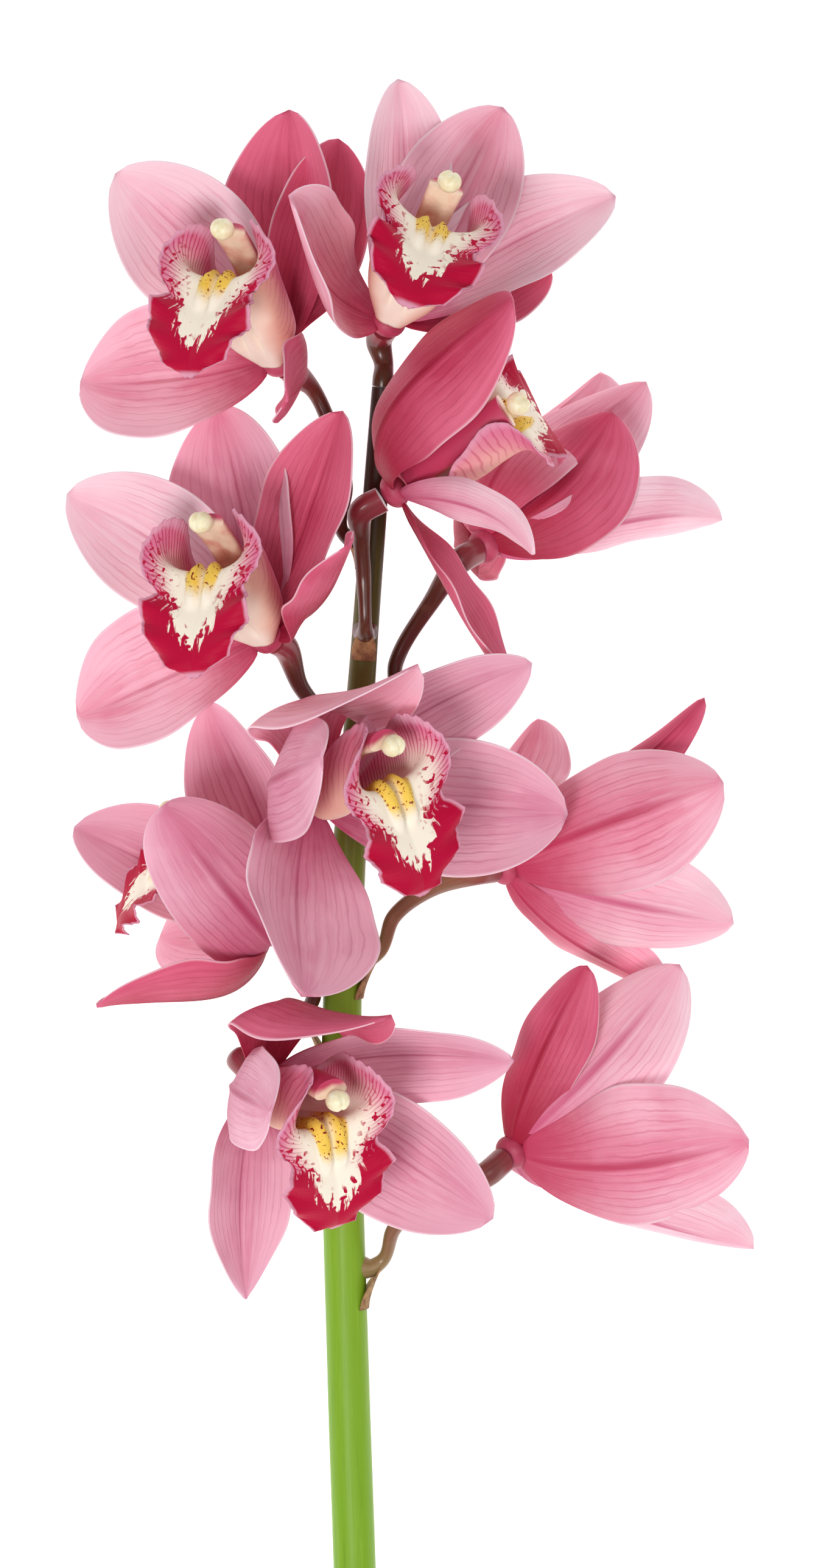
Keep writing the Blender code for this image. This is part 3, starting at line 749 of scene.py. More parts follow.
def path_rings(points: np.ndarray, radii: Sequence[float], sides: int, count: int,
               swell: Optional[Callable] = None) -> Sequence[np.ndarray]:
    """Rings round a smooth path.

    Args:
        points: Points that the path passes.
        radii: Radius at each of them.
        sides: Points round a ring.
        count: Rings.
        swell: Gives a factor on the radius for shares along and angles round.

    Returns:
        The rings and their shares along.
    """
    points = np.array(points, float)
    gaps = np.linalg.norm(np.diff(points, axis=0), axis=1)
    places = np.concatenate([[0], np.cumsum(gaps)]) / gaps.sum()
    us = np.linspace(0, 1, count)
    curves = [list(zip(places, points[:, n])) for n in range(3)]
    middle = np.stack([along_keys(us, curve) for curve in curves], -1)
    before = np.stack([along_keys(us - PROBE, curve) for curve in curves], -1)
    after = np.stack([along_keys(us + PROBE, curve) for curve in curves], -1)
    radius = along_keys(us, list(zip(places, radii)))
    way = unit(after - before)
    way[0] = unit(points[1] - points[0])
    way[-1] = unit(points[-1] - points[-2])
    across = np.cross(way[0], (0.0, 0.0, 1.0) if abs(way[0][2]) < 0.9 else (1.0, 0.0, 0.0))
    angles = 2 * math.pi * np.arange(sides) / sides
    rings = np.zeros((count, sides, 3))
    for i in range(count):
        across = unit(across - np.dot(across, way[i]) * way[i])
        lift = np.cross(across, way[i])
        factor = swell(us[i], angles) if swell else np.ones(sides)
        rings[i] = middle[i] + (radius[i] * factor)[:, None] * (
            np.cos(angles)[:, None] * across + np.sin(angles)[:, None] * lift)
    return rings, us


@dataclass(frozen=True)
class Tepal:
    """One sepal or petal. Angles are in degrees and lengths in millimetres.

    Attributes:
        tip: The tip, measured from the hub.
        width: Greatest width.
        out: Share of the outward way in the root's start; the rest is straight to the tip.
        nod: How far the tip bends forwards.
        roll: Turn about the blade's own length.
        bow: How far the blade swings to its side on the way.
        reach: Share of the length over which its ends hold their direction.
        way: Bearing of the root round the bloom, where it isn't the tip's.
        fold: Angle of each half at the midrib.
        curl: Cupping of the left and the right half.
        wave: Height of the ripples at the margins.
        blunt: Power of the outline towards the tip.
        swell: Power of the outline towards the root.
        root_share: Width of the root, as a share of the greatest.
        root_out: Distance of the root from the hub's middle.
        ripples: Ripples along a margin.
    """
    tip: Sequence[float]
    width: float = 31.0
    out: float = 0.6
    nod: float = 6.0
    roll: float = 0.0
    bow: float = 0.0
    reach: float = 0.36
    way: Optional[float] = None
    fold: float = 6.0
    curl: Sequence[float] = (35.0, 35.0)
    wave: float = 0.8
    blunt: float = 0.66
    swell: float = 0.8
    root_share: float = 0.21
    root_out: float = 3.2
    ripples: float = 2.3

    def half_width(self, u: np.ndarray) -> np.ndarray:
        """Half width along the blade.

        Args:
            u: Shares from root to tip.

        Returns:
            Half widths in millimetres.
        """
        widest = self.swell / (self.swell + self.blunt)
        body = (u / widest) ** self.swell * np.maximum((1 - u) / (1 - widest), 0) ** self.blunt
        root = self.root_share * (1 - u) ** 5
        return self.width / 2 * (body * (1 - root) + root)


@dataclass(frozen=True)
class Bloom:
    """One bloom.

    Attributes:
        number: Its number, roughly from the stem's tip down.
        hub: Layout point where its parts meet.
        front: Direction that it faces.
        top: Direction of its upper side.
        dorsal: The sepal at its top.
        petal_a: The left petal.
        petal_b: The right petal.
        sepal_a: The left sepal.
        sepal_b: The right sepal.
        lip_size: Factor on the lip's size.
        lean: How far the lip's left and right lobes lean in, in millimetres.
    """
    number: int
    hub: Sequence[float]
    front: Sequence[float]
    top: Sequence[float]
    dorsal: Tepal
    petal_a: Tepal
    petal_b: Tepal
    sepal_a: Tepal
    sepal_b: Tepal
    lip_size: float = 1.0
    lean: Sequence[float] = (2.0, 2.0)

    def axes(self) -> np.ndarray:
        """Right, top and front as rows."""
        front = unit(np.array(self.front))
        top = np.array(self.top, float)
        top = unit(top - np.dot(top, front) * front)
        return np.array([np.cross(top, front), top, front])

    def at(self, local: np.ndarray) -> np.ndarray:
        """Layout points for points measured right of, above and ahead of the hub."""
        return np.array(self.hub) + np.asarray(local) @ self.axes()

    def named(self, part: str) -> str:
        """Name of one of the bloom's parts."""
        return f"bloom_{self.number:02d}_{part}"


class Part(Enum):
    """The tepals of a bloom, with the lift of their roots above the hub's middle."""
    DORSAL = ("dorsal", "dorsal_sepal", -0.9)
    LEFT_PETAL = ("petal_a", "left_petal", 0.5)
    RIGHT_PETAL = ("petal_b", "right_petal", 0.5)
    LEFT_SEPAL = ("sepal_a", "left_sepal", -0.9)
    RIGHT_SEPAL = ("sepal_b", "right_sepal", -0.9)


@dataclass
class Perianth:
    """The five tepals of a bloom and the receptacle that carries them.

    Spans are shares from root to tip, and the keel's width is a share of half the blade's.
    """
    bloom: Bloom
    tints: Sequence[Tint]
    receptacle: PlainFinish
    hub_radii: Sequence[float] = (4.4, 4.4, 3.2)
    hub_back: float = 1.0
    hub_sides: int = 32
    thickness: float = 0.9
    keel_depth: float = 0.5
    keel_width: float = 0.07
    keel_span: Sequence[float] = (0.0, 0.1, 0.8, 1.0)
    roll_span: Sequence[float] = (0.0, 0.35)
    curl_span: Sequence[float] = (-0.2, 0.5)
    ripple_shift: float = 0.31
    columns: int = 26
    rows: int = 44

    def surface(self, tepal: Tepal, lift: float, u: np.ndarray, v: np.ndarray) -> np.ndarray:
        """Points of a tepal's middle surface.

        Args:
            tepal: The blade.
            lift: Height of its root over the hub's middle.
            u: Shares from root to tip.
            v: Shares from margin to margin, -1 to 1.

        Returns:
            Layout points.
        """
        right, top, front = self.bloom.axes()
        chord = np.array(tepal.tip, float)
        flat = unit(chord - np.dot(chord, front) * front)
        if tepal.way is not None:
            turn = math.radians(tepal.way)
            flat = top * math.cos(turn) + right * math.sin(turn)
        hub = np.array(self.bloom.hub, float)
        root = hub + flat * tepal.root_out + front * lift
        end = hub + chord
        length = np.linalg.norm(end - root)
        straight = unit(end - root)
        side = unit(np.cross(flat, front))
        inward = unit(np.cross(side, straight))
        sway = math.tan(math.radians(tepal.bow)) * side
        start_way = unit(straight * (1 - tepal.out) + flat * tepal.out + sway)
        end_way = unit(straight + math.tan(math.radians(tepal.nod)) * inward - sway)
        grip = length * tepal.reach
        a, b, c, d = root, root + start_way * grip, end - end_way * grip, end
        t = u[:, None]
        middle = (1 - t)**3 * a + 3 * (1 - t)**2 * t * b + 3 * (1 - t) * t**2 * c + t**3 * d
        way = unit((1 - t)**2 * (b - a) + 2 * (1 - t) * t * (c - b) + t**2 * (d - c))
        face = unit(np.cross(side[None, :], way))
        cross = np.cross(way, face)
        spin = np.radians(tepal.roll * ease(u, *self.roll_span))[:, None]
        face, cross = (face * np.cos(spin) - cross * np.sin(spin),
                       cross * np.cos(spin) + face * np.sin(spin))
        half = tepal.half_width(u)
        fold = math.radians(tepal.fold)
        sign = np.where(v >= 0, 1.0, -1.0)
        curl = np.radians(np.where(v >= 0, tepal.curl[1], tepal.curl[0])) + LEAST_CURL
        bend = curl * ease(u, *self.curl_span)
        off = np.abs(v)
        reach_out = half * (np.sin(fold + bend * off) - math.sin(fold)) / bend
        raised = half * (math.cos(fold) - np.cos(fold + bend * off)) / bend
        ripple = tepal.wave * off**3 * np.sin(
            2 * math.pi * (tepal.ripples * u + self.ripple_shift * sign)) * np.sin(math.pi * u)
        keel = -self.keel_depth * np.exp(-(v / self.keel_width) ** 2) * rise_and_fall(
            u, self.keel_span)
        return (middle + cross * (sign * reach_out)[:, None]
                + face * (raised + ripple + keel)[:, None])

    def build_tepals(self) -> None:
        """Lays the five blades."""
        for part, tint in zip(Part, self.tints):
            role, title, lift = part.value
            tepal = getattr(self.bloom, role)
            finish = TepalFinish(tint)
            piece = laid_blade(
                self.bloom.named(title), self.columns, self.rows,
                lambda u, v, t=tepal, h=lift: self.surface(t, h, u, v), self.thickness,
                (finish.material(Side.INNER), finish.material(Side.OUTER)))
            kept(piece, self.bloom.named("tepals"))

    def build_receptacle(self) -> None:
        """Rounds the seat where the blades meet."""
        back = np.array((0.0, 0.0, self.hub_back))
        piece = ball(self.bloom.named("receptacle"), self.hub_sides,
                     lambda sphere: self.bloom.at(sphere * self.hub_radii - back),
                     self.receptacle.material())
        kept(piece, self.bloom.named("tepals"))


@dataclass
class Lip:
    """Lip with erect side lobes, a waved mid-lobe and two callus ridges.

    Each key is the share from root to tip and the distances right of, above and ahead of the hub.
    Spans are shares from root to tip, and the waves' steps too.
    """
    bloom: Bloom
    finish: LipFinish
    middle: Keys = ((0.00, 0, -3.2, 2.5), (0.15, 0, -2.0, 12), (0.30, 0, 0.5, 20),
                    (0.42, 0, 4.5, 27), (0.50, 0, 7.0, 31.5), (0.57, 0, 5.0, 34),
                    (0.63, 0, 0.5, 35.2), (0.68, 0, -3.5, 36), (0.73, 0, -7.0, 37),
                    (0.82, 0, -12, 38), (0.91, 0, -17, 38), (1.00, 0, -20.5, 36.5))
    bend: Keys = ((0.00, 2.5, -3.4, 2.1), (0.15, 9.5, -4.5, 11), (0.30, 14.5, -2.0, 19),
                  (0.42, 16.0, 2.0, 27), (0.50, 15.0, 6.0, 33), (0.57, 12.0, 6.0, 35.5),
                  (0.63, 9.0, 2.0, 36), (0.68, 7.0, -2.0, 37), (0.73, 8.0, -5.0, 38.5),
                  (0.82, 8.0, -11.5, 39.5), (0.91, 5.0, -17, 39), (1.00, 0.4, -20.5, 36.5))
    margin: Keys = ((0.00, 3.8, -1.8, 2.1), (0.15, 9.0, 6.0, 9), (0.30, 12.0, 16.0, 18),
                    (0.42, 9.5, 22.0, 29), (0.50, 12.5, 20.0, 34.5), (0.57, 16.5, 13.0, 36.5),
                    (0.63, 15.5, 6.5, 36.5), (0.68, 12.0, 2.0, 36), (0.73, 14.5, -1.5, 38.5),
                    (0.82, 13.5, -8.5, 38), (0.91, 8.5, -16, 37.5), (1.00, 0.8, -20.8, 36.3))
    wave: float = 1.6
    wave_step: float = 0.105
    wave_shift: Sequence[float] = (2.4, 0.5)
    wave_span: Sequence[float] = (0.66, 0.74)
    tip_span: Sequence[float] = (0.93, 1.0)
    tip_calm: float = 0.8
    crimp: float = 0.5
    crimp_step: float = 0.034
    crimp_span: Sequence[float] = (0.3, 0.45)
    lean_lift: float = 0.2
    lean_span: Sequence[float] = (0.12, 0.3, 0.46, 0.6)
    callus_span: Sequence[float] = (0.06, 0.2, 0.64, 0.7)
    callus_off: float = 2.2
    callus_high: float = 2.2
    callus_slim: float = 1.1
    seat: Sequence[float] = (0.0, -3.2, 2.5)
    thickness: float = 0.8
    columns: int = 72
    rows: int = 84

    def surface(self, u: np.ndarray, v: np.ndarray) -> np.ndarray:
        """Points of the lip's middle surface.

        Args:
            u: Shares from root to tip.
            v: Shares from margin to margin, -1 to 1.

        Returns:
            Layout points.
        """
        middle, bend, margin = [
            np.stack([along_keys(u, [(k[0], k[n]) for k in table]) for n in (1, 2, 3)], -1)
            for table in (self.middle, self.bend, self.margin)]
        ahead, behind = [
            np.stack([along_keys(u + step, [(k[0], k[n]) for k in self.middle])
                      for n in (2, 3)], -1) for step in (PROBE, -PROBE)]
        slope = ahead - behind
        normal = unit(np.stack([np.zeros_like(u), slope[:, 1], -slope[:, 0]], -1))
        mid_lobe = ease(u, *self.wave_span) * (1 - ease(u, *self.tip_span) * self.tip_calm)
        ridge = self.callus_high * rise_and_fall(u, self.callus_span)
        sign = np.where(v >= 0, 1.0, -1.0)
        t = np.abs(v)[:, None]
        row = (1 - t)**2 * middle + 2 * (1 - t) * t * bend + t**2 * margin
        t = t[:, 0]
        waves = self.wave * t**2.5 * np.sin(
            2 * math.pi * u / self.wave_step
            + np.where(sign > 0, self.wave_shift[1], self.wave_shift[0]))
        crimp = self.crimp * t**5 * np.sin(
            2 * math.pi * u / self.crimp_step + sign) * ease(u, *self.crimp_span)
        raised = (ridge * np.exp(-((row[:, 0] - self.callus_off) / self.callus_slim) ** 2)
                  + mid_lobe * waves + crimp)
        lean = t**2 * rise_and_fall(u, self.lean_span) * np.where(
            sign > 0, self.bloom.lean[1], self.bloom.lean[0])
        row[:, 0] -= lean
        row[:, 1] += lean * self.lean_lift
        row = row + normal * raised[:, None]
        row[:, 0] *= sign
        seat = np.array(self.seat)
        return self.bloom.at(seat + (row - seat) * self.bloom.lip_size)

    def build(self) -> None:
        """Lays the lip's blade."""
        piece = laid_blade(self.bloom.named("lip"), self.columns, self.rows, self.surface,
                           self.thickness, (self.finish.inner(), self.finish.outer()), turned=True)
        kept(piece, self.bloom.named("lip"))


@dataclass
class Column:
    """Arched column over the lip, and the cap at its end.

    Each key is the share from foot to end and the distances above and ahead of the hub.
    """
    bloom: Bloom
    finish: ColumnFinish
    cap_finish: PlainFinish
    middle: Keys = ((0.0, 1.9, 2.9), (0.35, 9.5, 13.5), (0.7, 15.8, 25.0), (1.0, 18.6, 34.2))
    half_width: float = 4.2
    foot_share: float = 0.8
    flare: float = 0.25
    depth: float = 3.2
    belly: float = 0.3
    flanks: float = 0.3
    cap_centre: Sequence[float] = (0.0, 18.2, 37.6)
    cap_radii: Sequence[float] = (3.0, 2.7, 2.9)
    groove: float = 0.16
    sides: int = 28
    count: int = 26

    def rings(self) -> Sequence[np.ndarray]:
        """Rings round the column and their shares along."""
        us = np.linspace(0, 1, self.count)
        high = along_keys(us, [(k[0], k[1]) for k in self.middle])
        ahead = along_keys(us, [(k[0], k[2]) for k in self.middle])
        slope = np.arctan2(np.gradient(high, us), np.gradient(ahead, us))
        half = self.half_width * (self.foot_share + self.flare * us)
        angles = 2 * math.pi * np.arange(self.sides) / self.sides
        lift = self.depth * np.sin(angles)
        under = lift * (self.belly + self.flanks * np.abs(np.cos(angles)))
        lift = np.where(lift < 0, under, lift)
        rings = np.zeros((self.count, self.sides, 3))
        rings[:, :, 0] = half[:, None] * np.cos(angles)
        rings[:, :, 1] = high[:, None] + lift * (np.cos(slope) * ease(us, -0.9, 0.1))[:, None]
        rings[:, :, 2] = ahead[:, None] - lift * (np.sin(slope) * ease(us, 0.0, 0.2))[:, None]
        return self.bloom.at(rings), us

    def build(self) -> None:
        """Lofts the column."""
        rings, us = self.rings()
        piece = bar(self.bloom.named("column"), rings, us, self.finish.material())
        kept(piece, self.bloom.named("column"))

    def cap_shape(self, sphere: np.ndarray) -> np.ndarray:
        """Shapes the cap, with the groove down its middle.

        Args:
            sphere: Points of a sphere of radius one.

        Returns:
            Layout points.
        """
        groove = 1 - self.groove * np.exp(-(sphere[:, 0] / self.groove) ** 2) * ease(
            sphere[:, 2], -0.2, 0.5)
        return self.bloom.at(sphere * groove[:, None] * self.cap_radii + self.cap_centre)

    def build_cap(self) -> None:
        """Rounds the cap."""
        piece = ball(self.bloom.named("anther_cap"), self.sides, self.cap_shape,
                     self.cap_finish.material())
        kept(piece, self.bloom.named("anther_cap"))


@dataclass
class Stem:
    """The flower stalk with its dry bracts.

    The path passes layout points. A bract has its height along +Y, its angle round the stem with 0
    to the right and 90 to the front, its length, and how far its tip stands off.
    """
    finish: StemFinish
    bract_finish: PlainFinish
    path: Keys = ((-13.0, -268.0, 5.4), (-15.0, -193.0, 15.0), (-16.4, -150.0, 20.5),
                  (-17.8, -52.0, 34.0), (-12.2, 36.0, 46.0), (-9.0, 79.0, 52.0),
                  (-7.8, 98.0, 54.2))
    widths: Sequence[float] = (10.6, 10.6, 10.5, 9.6, 6.6, 6.0, 5.2)
    bracts: Keys = ((-131, 0, 11, 4), (-70, 180, 11, 4), (-53, 0, 11, 4), (31, 90, 8, 3),
                    (12, 0, 8, 3), (53, 180, 8, 3), (-41, 115, 11, 4))
    bract_spread: float = 52.0
    bract_gap: float = 0.3
    bract_wall: float = 0.5
    bract_cells: Sequence[int] = (20, 16)
    sides: int = 36
    count: int = 150

    def at(self, height: float) -> Sequence[np.ndarray]:
        """Place on the stem.

        Args:
            height: Where along +Y.

        Returns:
            The stem's middle, radius and direction there.
        """
        heights = [p[1] for p in self.path]
        curves = [list(zip(heights, [p[n] for p in self.path])) for n in range(3)]
        y = np.array([float(height)])
        middle = np.array([along_keys(y, curve)[0] for curve in curves])
        ahead = np.array([along_keys(y + 1, curve)[0] for curve in curves])
        radius = along_keys(y, list(zip(heights, [w / 2 for w in self.widths])))[0]
        return middle, radius, unit(ahead - middle)

    def side(self, height: float, angle: float) -> np.ndarray:
        """Direction square to the stem.

        Args:
            height: Where along +Y.
            angle: Degrees round the stem.

        Returns:
            The direction.
        """
        way = self.at(height)[2]
        right = unit(np.cross(way, (0.0, 0.0, 1.0)))
        front = np.cross(right, way)
        turn = math.radians(angle)
        return right * math.cos(turn) + front * math.sin(turn)

    def build(self) -> None:
        """Lofts the stalk and lays its bracts."""
        rings, us = path_rings(self.path, [w / 2 for w in self.widths], self.sides, self.count)
        kept(bar("stem", rings, us, self.finish.material(), streak=3.0), "stem")
        husk = self.bract_finish.material()
        for number, bract in enumerate(self.bracts, 1):
            piece = laid_blade(f"bract_{number:02d}", *self.bract_cells,
                               lambda u, v, b=bract: self.bract(*b, u, v), self.bract_wall,
                               (husk, husk), turned=True)
            kept(piece, "stem")

    def bract(self, height: float, angle: float, length: float, stand: float,
              us: np.ndarray, vs: np.ndarray) -> np.ndarray:
        """Points of a small pointed sheath that hugs the stem at its foot.

        Args:
            height: Its foot's height along +Y.
            angle: Degrees round the stem.
            length: From foot to tip.
            stand: How far the tip stands off.
            us: Shares from foot to tip.
            vs: Shares from margin to margin.

        Returns:
            Layout points.
        """
        middle, radius, way = self.at(height)
        points = np.zeros((len(us), 3))
        for i, (u, v) in enumerate(zip(us, vs)):
            spread = self.bract_spread * (1 - 0.9 * max(u, 0.0) ** 1.6)
            off = radius + self.bract_gap + stand * max(u, 0.0) ** 1.5
            points[i] = middle + way * (length * u) + self.side(height, angle + spread * v) * off
        return points


@dataclass
class Pedicel:
    """Stalk and ovary of one bloom.

    The leave is how far up the stem it starts and on which side, in degrees round the stem with 0
    to the right and 90 to the front.
    """
    bloom: Bloom
    stem: Stem
    finish: StalkFinish
    leave: Optional[Sequence[float]]
    passed: Keys
    thin: float = 1.9
    thick: float = 3.3
    ovary: float = 5.5
    seat_gap: float = 0.3
    hub_depth: float = 4.4
    sunk: float = 1.6
    foot_flare: float = 1.3
    rib: float = 0.05
    rib_span: Sequence[float] = (0.55, 0.85)
    sides: int = 24
    count: int = 64

    def course(self) -> Sequence[Sequence]:
        """Points that the stalk passes, and its radius at each."""
        front = self.bloom.axes()[2]
        seat = np.array(self.bloom.hub) - front * (self.hub_depth + self.seat_gap)
        if self.leave is None:
            end = np.array(self.stem.path[-1])
            way = unit(end - np.array(self.stem.path[-2]))
            radius = self.stem.widths[-1] / 2
            points = [end + way * self.seat_gap, end + way * 2.0,
                      end + way * 5.5 - np.array((0, 0, 1.8))]
            radii = [radius, radius, self.thin + 0.5]
        else:
            middle, radius, way = self.stem.at(self.leave[0])
            side = self.stem.side(*self.leave)
            start = middle + side * (radius + self.seat_gap + 0.1)
            points = [start - side * self.sunk, start + side * 1.2,
                      start + side * 3.2 + way * 1.2]
            points += [np.array(p) for p in self.passed]
            radii = [self.thin + self.foot_flare, self.thin + 0.4]
            radii += [self.thin] * (len(self.passed) + 1)
            radii[-1] = self.thin + 0.3
        points += [seat - front * self.ovary, seat]
        radii += [self.thick, self.thick]
        return points, radii

    def ribs(self, along: float, angles: np.ndarray) -> np.ndarray:
        """Factors on the radius, for the ovary's three shallow ribs."""
        return 1 + self.rib * np.cos(3 * angles) * float(ease(along, *self.rib_span))

    def build(self) -> None:
        """Lofts the stalk and its ovary."""
        points, radii = self.course()
        rings, us = path_rings(points, radii, self.sides, self.count, self.ribs)
        name = f"pedicel_{self.bloom.number:02d}"
        kept(bar(name, rings, us, self.finish.material(), streak=0.6), name)


BLOOMS = (
    Bloom(1, (-33.8, 104.7, 64), (-0.45, 0.36, 0.82), (0.22, 0.93, -0.29),
          dorsal=Tepal((3, 62, -12), 34),
          petal_a=Tepal((-40, 46, -8), 37, bow=10),
          petal_b=Tepal((15, 55, -14), 28, roll=-50),
          sepal_a=Tepal((-49, -5, -22), 41, bow=-8),
          sepal_b=Tepal((3, -12, 44), 23, way=90, out=0.5),
          lean=(0, 7)),
    Bloom(2, (-6.0, 114.5, 62), (0.26, 0.48, 0.84), (0.27, 0.80, -0.54),
          dorsal=Tepal((28, 53, -12), 34),
          petal_a=Tepal((2, 60, -12), 25, bow=12),
          petal_b=Tepal((56, 31, -14), 30, bow=-10),
          sepal_a=Tepal((-24, 28, 42), 34, bow=-8),
          sepal_b=Tepal((40, 13, -16), 28)),
    Bloom(3, (-4.0, 72.5, 66), (0.85, 0.5, 0.1), (-0.1, 0.1, 1.0),
          dorsal=Tepal((28, 45, 32), 36, bow=16, out=1.1),
          petal_a=Tepal((33, -17, 40), 12.5, bow=25, out=0.2, nod=-25, roll=35),
          petal_b=Tepal((16, 45, -22), 26, way=75, out=1.0),
          sepal_a=Tepal((28, -48, -9), 20, roll=-15, bow=14),
          sepal_b=Tepal((22, 24, -46), 24),
          lean=(8, 3)),
    Bloom(4, (18.0, 59.3, 46), (0.6, 0.35, -0.72), (0.8, 0.1, 0.6),
          dorsal=Tepal((31, 33, -4), 35, out=0.6, bow=-24, nod=0),
          petal_a=Tepal((40, 41, -22), 30, out=0.7),
          petal_b=Tepal((59, 7, -26), 22, out=0.7, bow=24),
          sepal_a=Tepal((29, 44, -36), 36, bow=-10, out=0.8),
          sepal_b=Tepal((0, 9, -45.8), 28, out=0.8),
          lip_size=0.72),
    Bloom(5, (-36.5, 36.5, 72), (-0.43, 0.25, 0.87), (0.05, 0.97, -0.25),
          dorsal=Tepal((-12, 57, -18), 36),
          petal_a=Tepal((-49, 35, -10), 34, bow=10),
          petal_b=Tepal((19, 55, 1), 27),
          sepal_a=Tepal((-47, -20, -26), 39),
          sepal_b=Tepal((21, 21, 46), 24, roll=50),
          lean=(0, 5)),
    Bloom(6, (-35.9, -35.7, 46), (-0.86, 0.4, 0.25), (-0.1, 0.8, 0.5),
          dorsal=Tepal((-15, 56, -4), 33, roll=-30),
          petal_a=Tepal((-49, 25, -20), 32, roll=-30),
          petal_b=Tepal((-26, 30, 41), 33, way=75, out=1.4),
          sepal_a=Tepal((-42, -19, 24), 31, out=1.0, reach=0.46),
          sepal_b=Tepal((-28, -3, -45.6), 28, out=1.0),
          lip_size=0.88),
    Bloom(7, (-24.0, -3.3, 74), (0.6, -0.12, 0.79), (-0.20, 0.94, 0.29),
          dorsal=Tepal((25, 32, 32), 40, bow=-14, out=1.7, reach=0.7),
          petal_a=Tepal((2, 10, 46), 32, way=-62, out=1.3, reach=0.5, curl=(15, 15)),
          petal_b=Tepal((53, 33, -6), 26, bow=-10),
          sepal_a=Tepal((-3, -48, 30), 46, curl=(25, 15)),
          sepal_b=Tepal((62, -4, -16), 38),
          lean=(8, 0)),
    Bloom(8, (23.3, -20.6, 40), (0.75, 0.1, -0.65), (0.2, 0.5, 0.8),
          dorsal=Tepal((53, 21, 20), 38),
          petal_a=Tepal((49, 42, -4), 14, bow=-18),
          petal_b=Tepal((56, -14, 6), 30),
          sepal_a=Tepal((8, 37, -38), 30, roll=-30),
          sepal_b=Tepal((40.5, -31.5, -14), 20),
          lip_size=0.85),
    Bloom(9, (-37.5, -73.0, 74), (0.5, -0.49, 0.71), (0.01, 0.83, 0.56),
          dorsal=Tepal((32, 17, 40), 38, bow=-11, out=1.3, reach=0.62),
          petal_a=Tepal((3, -6, 48), 26, way=-70, out=1.0, reach=0.3, curl=(15, 15)),
          petal_b=Tepal((62, 5, -4), 26, bow=-8),
          sepal_a=Tepal((-4, -54, -14), 27, bow=8, blunt=0.9),
          sepal_b=Tepal((57, -34, -10), 34),
          lean=(7, 0)),
    Bloom(10, (24.8, -90.8, 44), (0.6, 0.5, -0.62), (-0.1, 0.6, 0.8),
          dorsal=Tepal((58, 3, 9), 42, bow=-10, curl=(8, 30)),
          petal_a=Tepal((41, 46, 2), 32, bow=-10, out=0.9),
          petal_b=Tepal((60, -25, -18), 30),
          sepal_a=Tepal((18, 46, 12), 22, bow=2),
          sepal_b=Tepal((30, -8, -40), 28)),
)

# Where each pedicel leaves the stem, and the layout points that it passes.
PEDICELS = {
    1: ((60, 180), ((-17.0, 74, 50), (-20.5, 88, 50), (-25.5, 98, 52))),
    2: (None, ()),
    3: ((38, 90), ((-12.5, 52, 56.5), (-13.0, 61, 60))),
    4: ((19, 0), ((-4.5, 30, 42), (4.2, 45, 47))),
    5: ((4, 180), ((-21.0, 12, 45), (-28.5, 25, 55))),
    6: ((-60, 180), ((-25.0, -53, 36), (-24.5, -46, 39))),
    7: ((-32, 115), ((-21.0, -25, 47), (-28.0, -10, 58))),
    8: ((-43, 0), ((-5.0, -33, 39), (4.0, -26, 43))),
    9: ((-88, 110), ((-23.0, -84, 43), (-36.0, -76, 57))),
    10: ((-121, 0), ((-5.0, -111, 30), (6.0, -102, 40))),
}
TAN_PEDICELS = (8, 10)

# Dorsal sepal, left petal, right petal, left sepal, right sepal.
TINTS = {
    1: (Tint.DEEP, Tint.LIGHT, Tint.DEEP, Tint.ROSE, Tint.DEEP),
    2: (Tint.ROSE, Tint.LIGHT, Tint.LIGHT, Tint.ROSE, Tint.DEEP),
    3: (Tint.DEEP, Tint.LIGHT, Tint.ROSE, Tint.DEEP, Tint.ROSE),
    4: (Tint.DEEP, Tint.ROSE, Tint.LIGHT, Tint.ROSE, Tint.DEEP),
    5: (Tint.MAUVE, Tint.LIGHT, Tint.DEEP, Tint.ROSE, Tint.DEEP),
    6: (Tint.MAUVE, Tint.MAUVE, Tint.MAUVE, Tint.DEEP, Tint.ROSE),
    7: (Tint.ROSE, Tint.MAUVE, Tint.MAUVE, Tint.MAUVE, Tint.MAUVE),
    8: (Tint.ROSE, Tint.DEEP, Tint.LIGHT, Tint.ROSE, Tint.ROSE),
    9: (Tint.DEEP, Tint.MAUVE, Tint.MAUVE, Tint.MAUVE, Tint.MAUVE),
    10: (Tint.ROSE, Tint.LIGHT, Tint.LIGHT, Tint.DEEP, Tint.LIGHT),
}


@dataclass(frozen=True)
class Lamp:
    """A soft round lamp that looks at the part. Lengths are in metres, its power in watts."""
    name: str
    place: Sequence[float]
    size: float
    power: float
    target: Sequence[float] = (0.0, 0.0, 0.05)

    def build(self) -> None:
        """Hangs the lamp and turns it."""
        lamp = bpy.data.lights.new(self.name, "AREA")
        lamp.shape = "DISK"
        lamp.size = self.size
        lamp.energy = self.power
        thing = bpy.data.objects.new(self.name, lamp)
        thing.location = self.place
        aim = np.array(self.target) - np.array(self.place)
        thing.rotation_euler = (math.atan2(math.hypot(aim[0], aim[1]), -aim[2]), 0.0,
                                math.atan2(-aim[0], aim[1]))
        bpy.context.scene.collection.objects.link(thing)


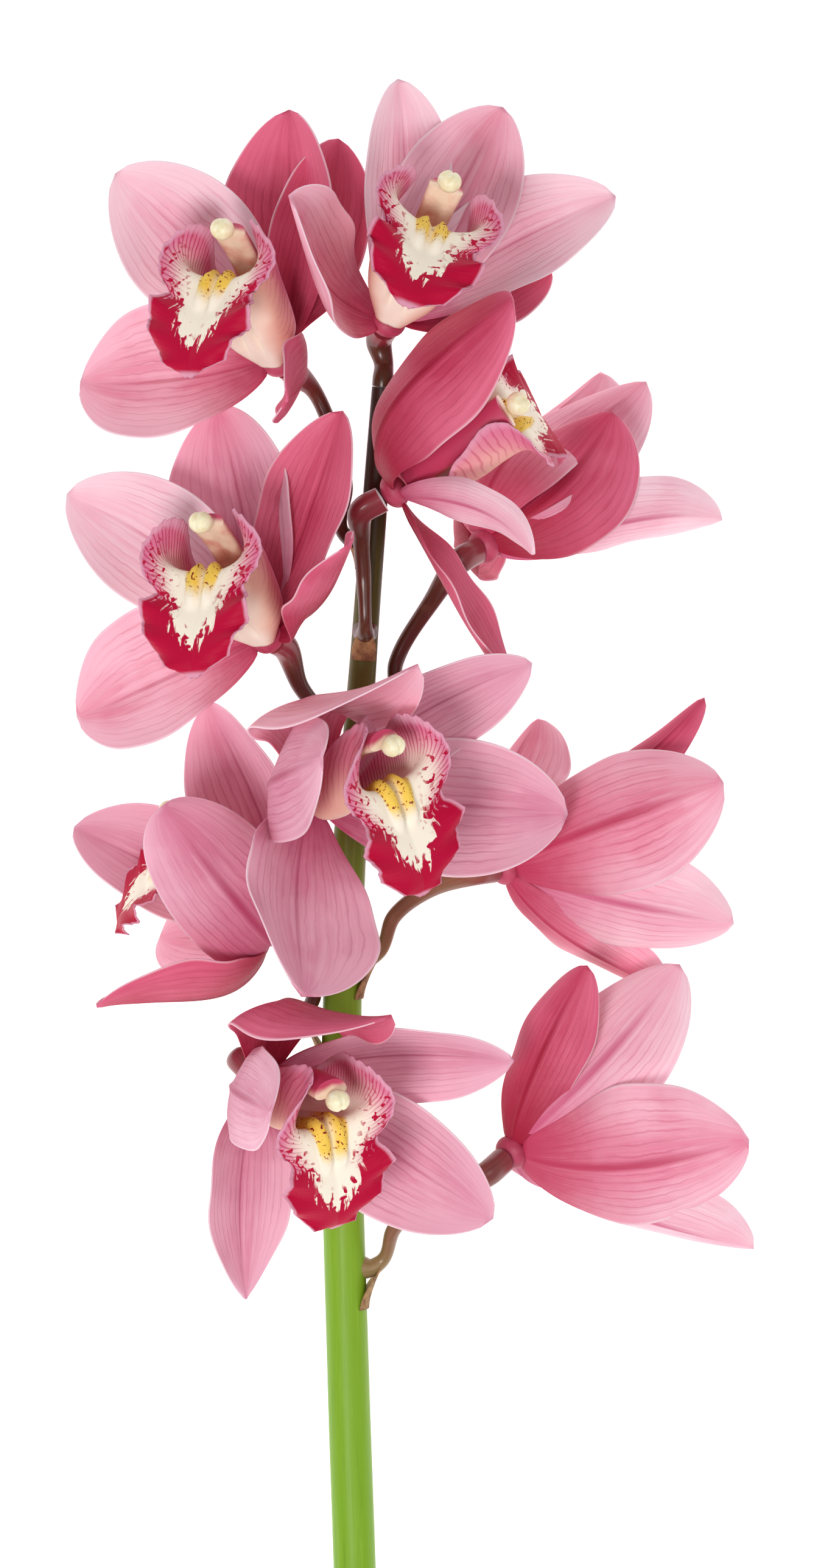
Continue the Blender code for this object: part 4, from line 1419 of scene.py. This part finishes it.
@dataclass
class Studio:
    """Pale floor, soft lights and the camera that looks down on the stem.

    The camera's height, and the view's height on a plane over the floor, are in millimetres.
    """
    lamps: Sequence[Lamp] = (Lamp("key", (-0.45, -0.5, 1.9), 0.6, 20.0),
                             Lamp("fill", (0.8, -0.2, 1.7), 1.0, 4.0))
    floor_size: float = 3.0
    floor_grey: float = 0.92
    floor_glow: float = 0.8
    sky: float = 0.42
    camera_height: float = 2560.0
    view_height: float = 386.4
    view_plane: float = 60.0
    sensor: float = 36.0
    far: float = 20.0

    def build_floor(self) -> None:
        """Lays the floor, which glows a little so that it stays pale."""
        bm = bmesh.new()
        bmesh.ops.create_grid(bm, x_segments=1, y_segments=1, size=self.floor_size)
        mesh = bpy.data.meshes.new("floor")
        bm.to_mesh(mesh)
        bm.free()
        floor = bpy.data.objects.new("floor", mesh)
        bpy.context.scene.collection.objects.link(floor)
        pen = Pen("floor_white")
        pen.colour((self.floor_grey,) * 3)
        pen.shine(0.8, 0.1)
        pen.put(pen.shader.inputs["Emission Color"], (1.0, 1.0, 1.0))
        pen.put(pen.shader.inputs["Emission Strength"], self.floor_glow)
        mesh.materials.append(pen.material)

    def build_sky(self) -> None:
        """Makes an even white sky."""
        world = bpy.data.worlds.new("sky")
        world.use_nodes = True
        sky = world.node_tree.nodes["Background"]
        sky.inputs["Color"].default_value = (1.0, 1.0, 1.0, 1.0)
        sky.inputs["Strength"].default_value = self.sky
        bpy.context.scene.world = world
        bpy.context.scene.view_settings.view_transform = "Standard"

    def build_camera(self) -> None:
        """Hangs the camera straight over the layout's middle."""
        lens = bpy.data.cameras.new("camera")
        lens.sensor_width = self.sensor
        lens.lens = self.sensor * (self.camera_height - self.view_plane) / self.view_height
        lens.clip_end = self.far
        camera = bpy.data.objects.new("camera", lens)
        camera.location = placed((0.0, 0.0, self.camera_height))
        bpy.context.scene.collection.objects.link(camera)
        bpy.context.scene.camera = camera

    def build(self) -> None:
        """Makes the floor, the lamps, the sky and the camera."""
        self.build_floor()
        for lamp in self.lamps:
            lamp.build()
        self.build_sky()
        self.build_camera()


def main() -> None:
    """Builds the studio, the stem and its blooms."""
    logging.basicConfig(level=logging.INFO, format="%(message)s")
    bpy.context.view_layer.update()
    Studio().build()
    bract = PlainFinish("bract_husk", srgb(176, 140, 92), srgb(120, 84, 52), scale=500.0,
                        roughness=0.7)
    cap = PlainFinish("anther_skin", srgb(250, 244, 214), srgb(240, 226, 180), scale=700.0,
                      roughness=0.4, soft=0.2)
    hub = PlainFinish("receptacle_skin", srgb(196, 78, 108), srgb(168, 48, 78), scale=160.0)
    dark = StalkFinish("pedicel_dark", srgb(74, 46, 28), srgb(88, 44, 32), srgb(150, 54, 66))
    tan = StalkFinish("pedicel_tan", srgb(150, 128, 84), srgb(140, 96, 72), srgb(150, 70, 74))
    stem = Stem(StemFinish(), bract)
    stem.build()
    for bloom in BLOOMS:
        skin = tan if bloom.number in TAN_PEDICELS else dark
        Pedicel(bloom, stem, skin, *PEDICELS[bloom.number]).build()
        perianth = Perianth(bloom, TINTS[bloom.number], hub)
        perianth.build_tepals()
        perianth.build_receptacle()
        Lip(bloom, LipFinish()).build()
        column = Column(bloom, ColumnFinish(), cap)
        column.build()
        column.build_cap()
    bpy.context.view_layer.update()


if __name__ == "__main__":
    main()
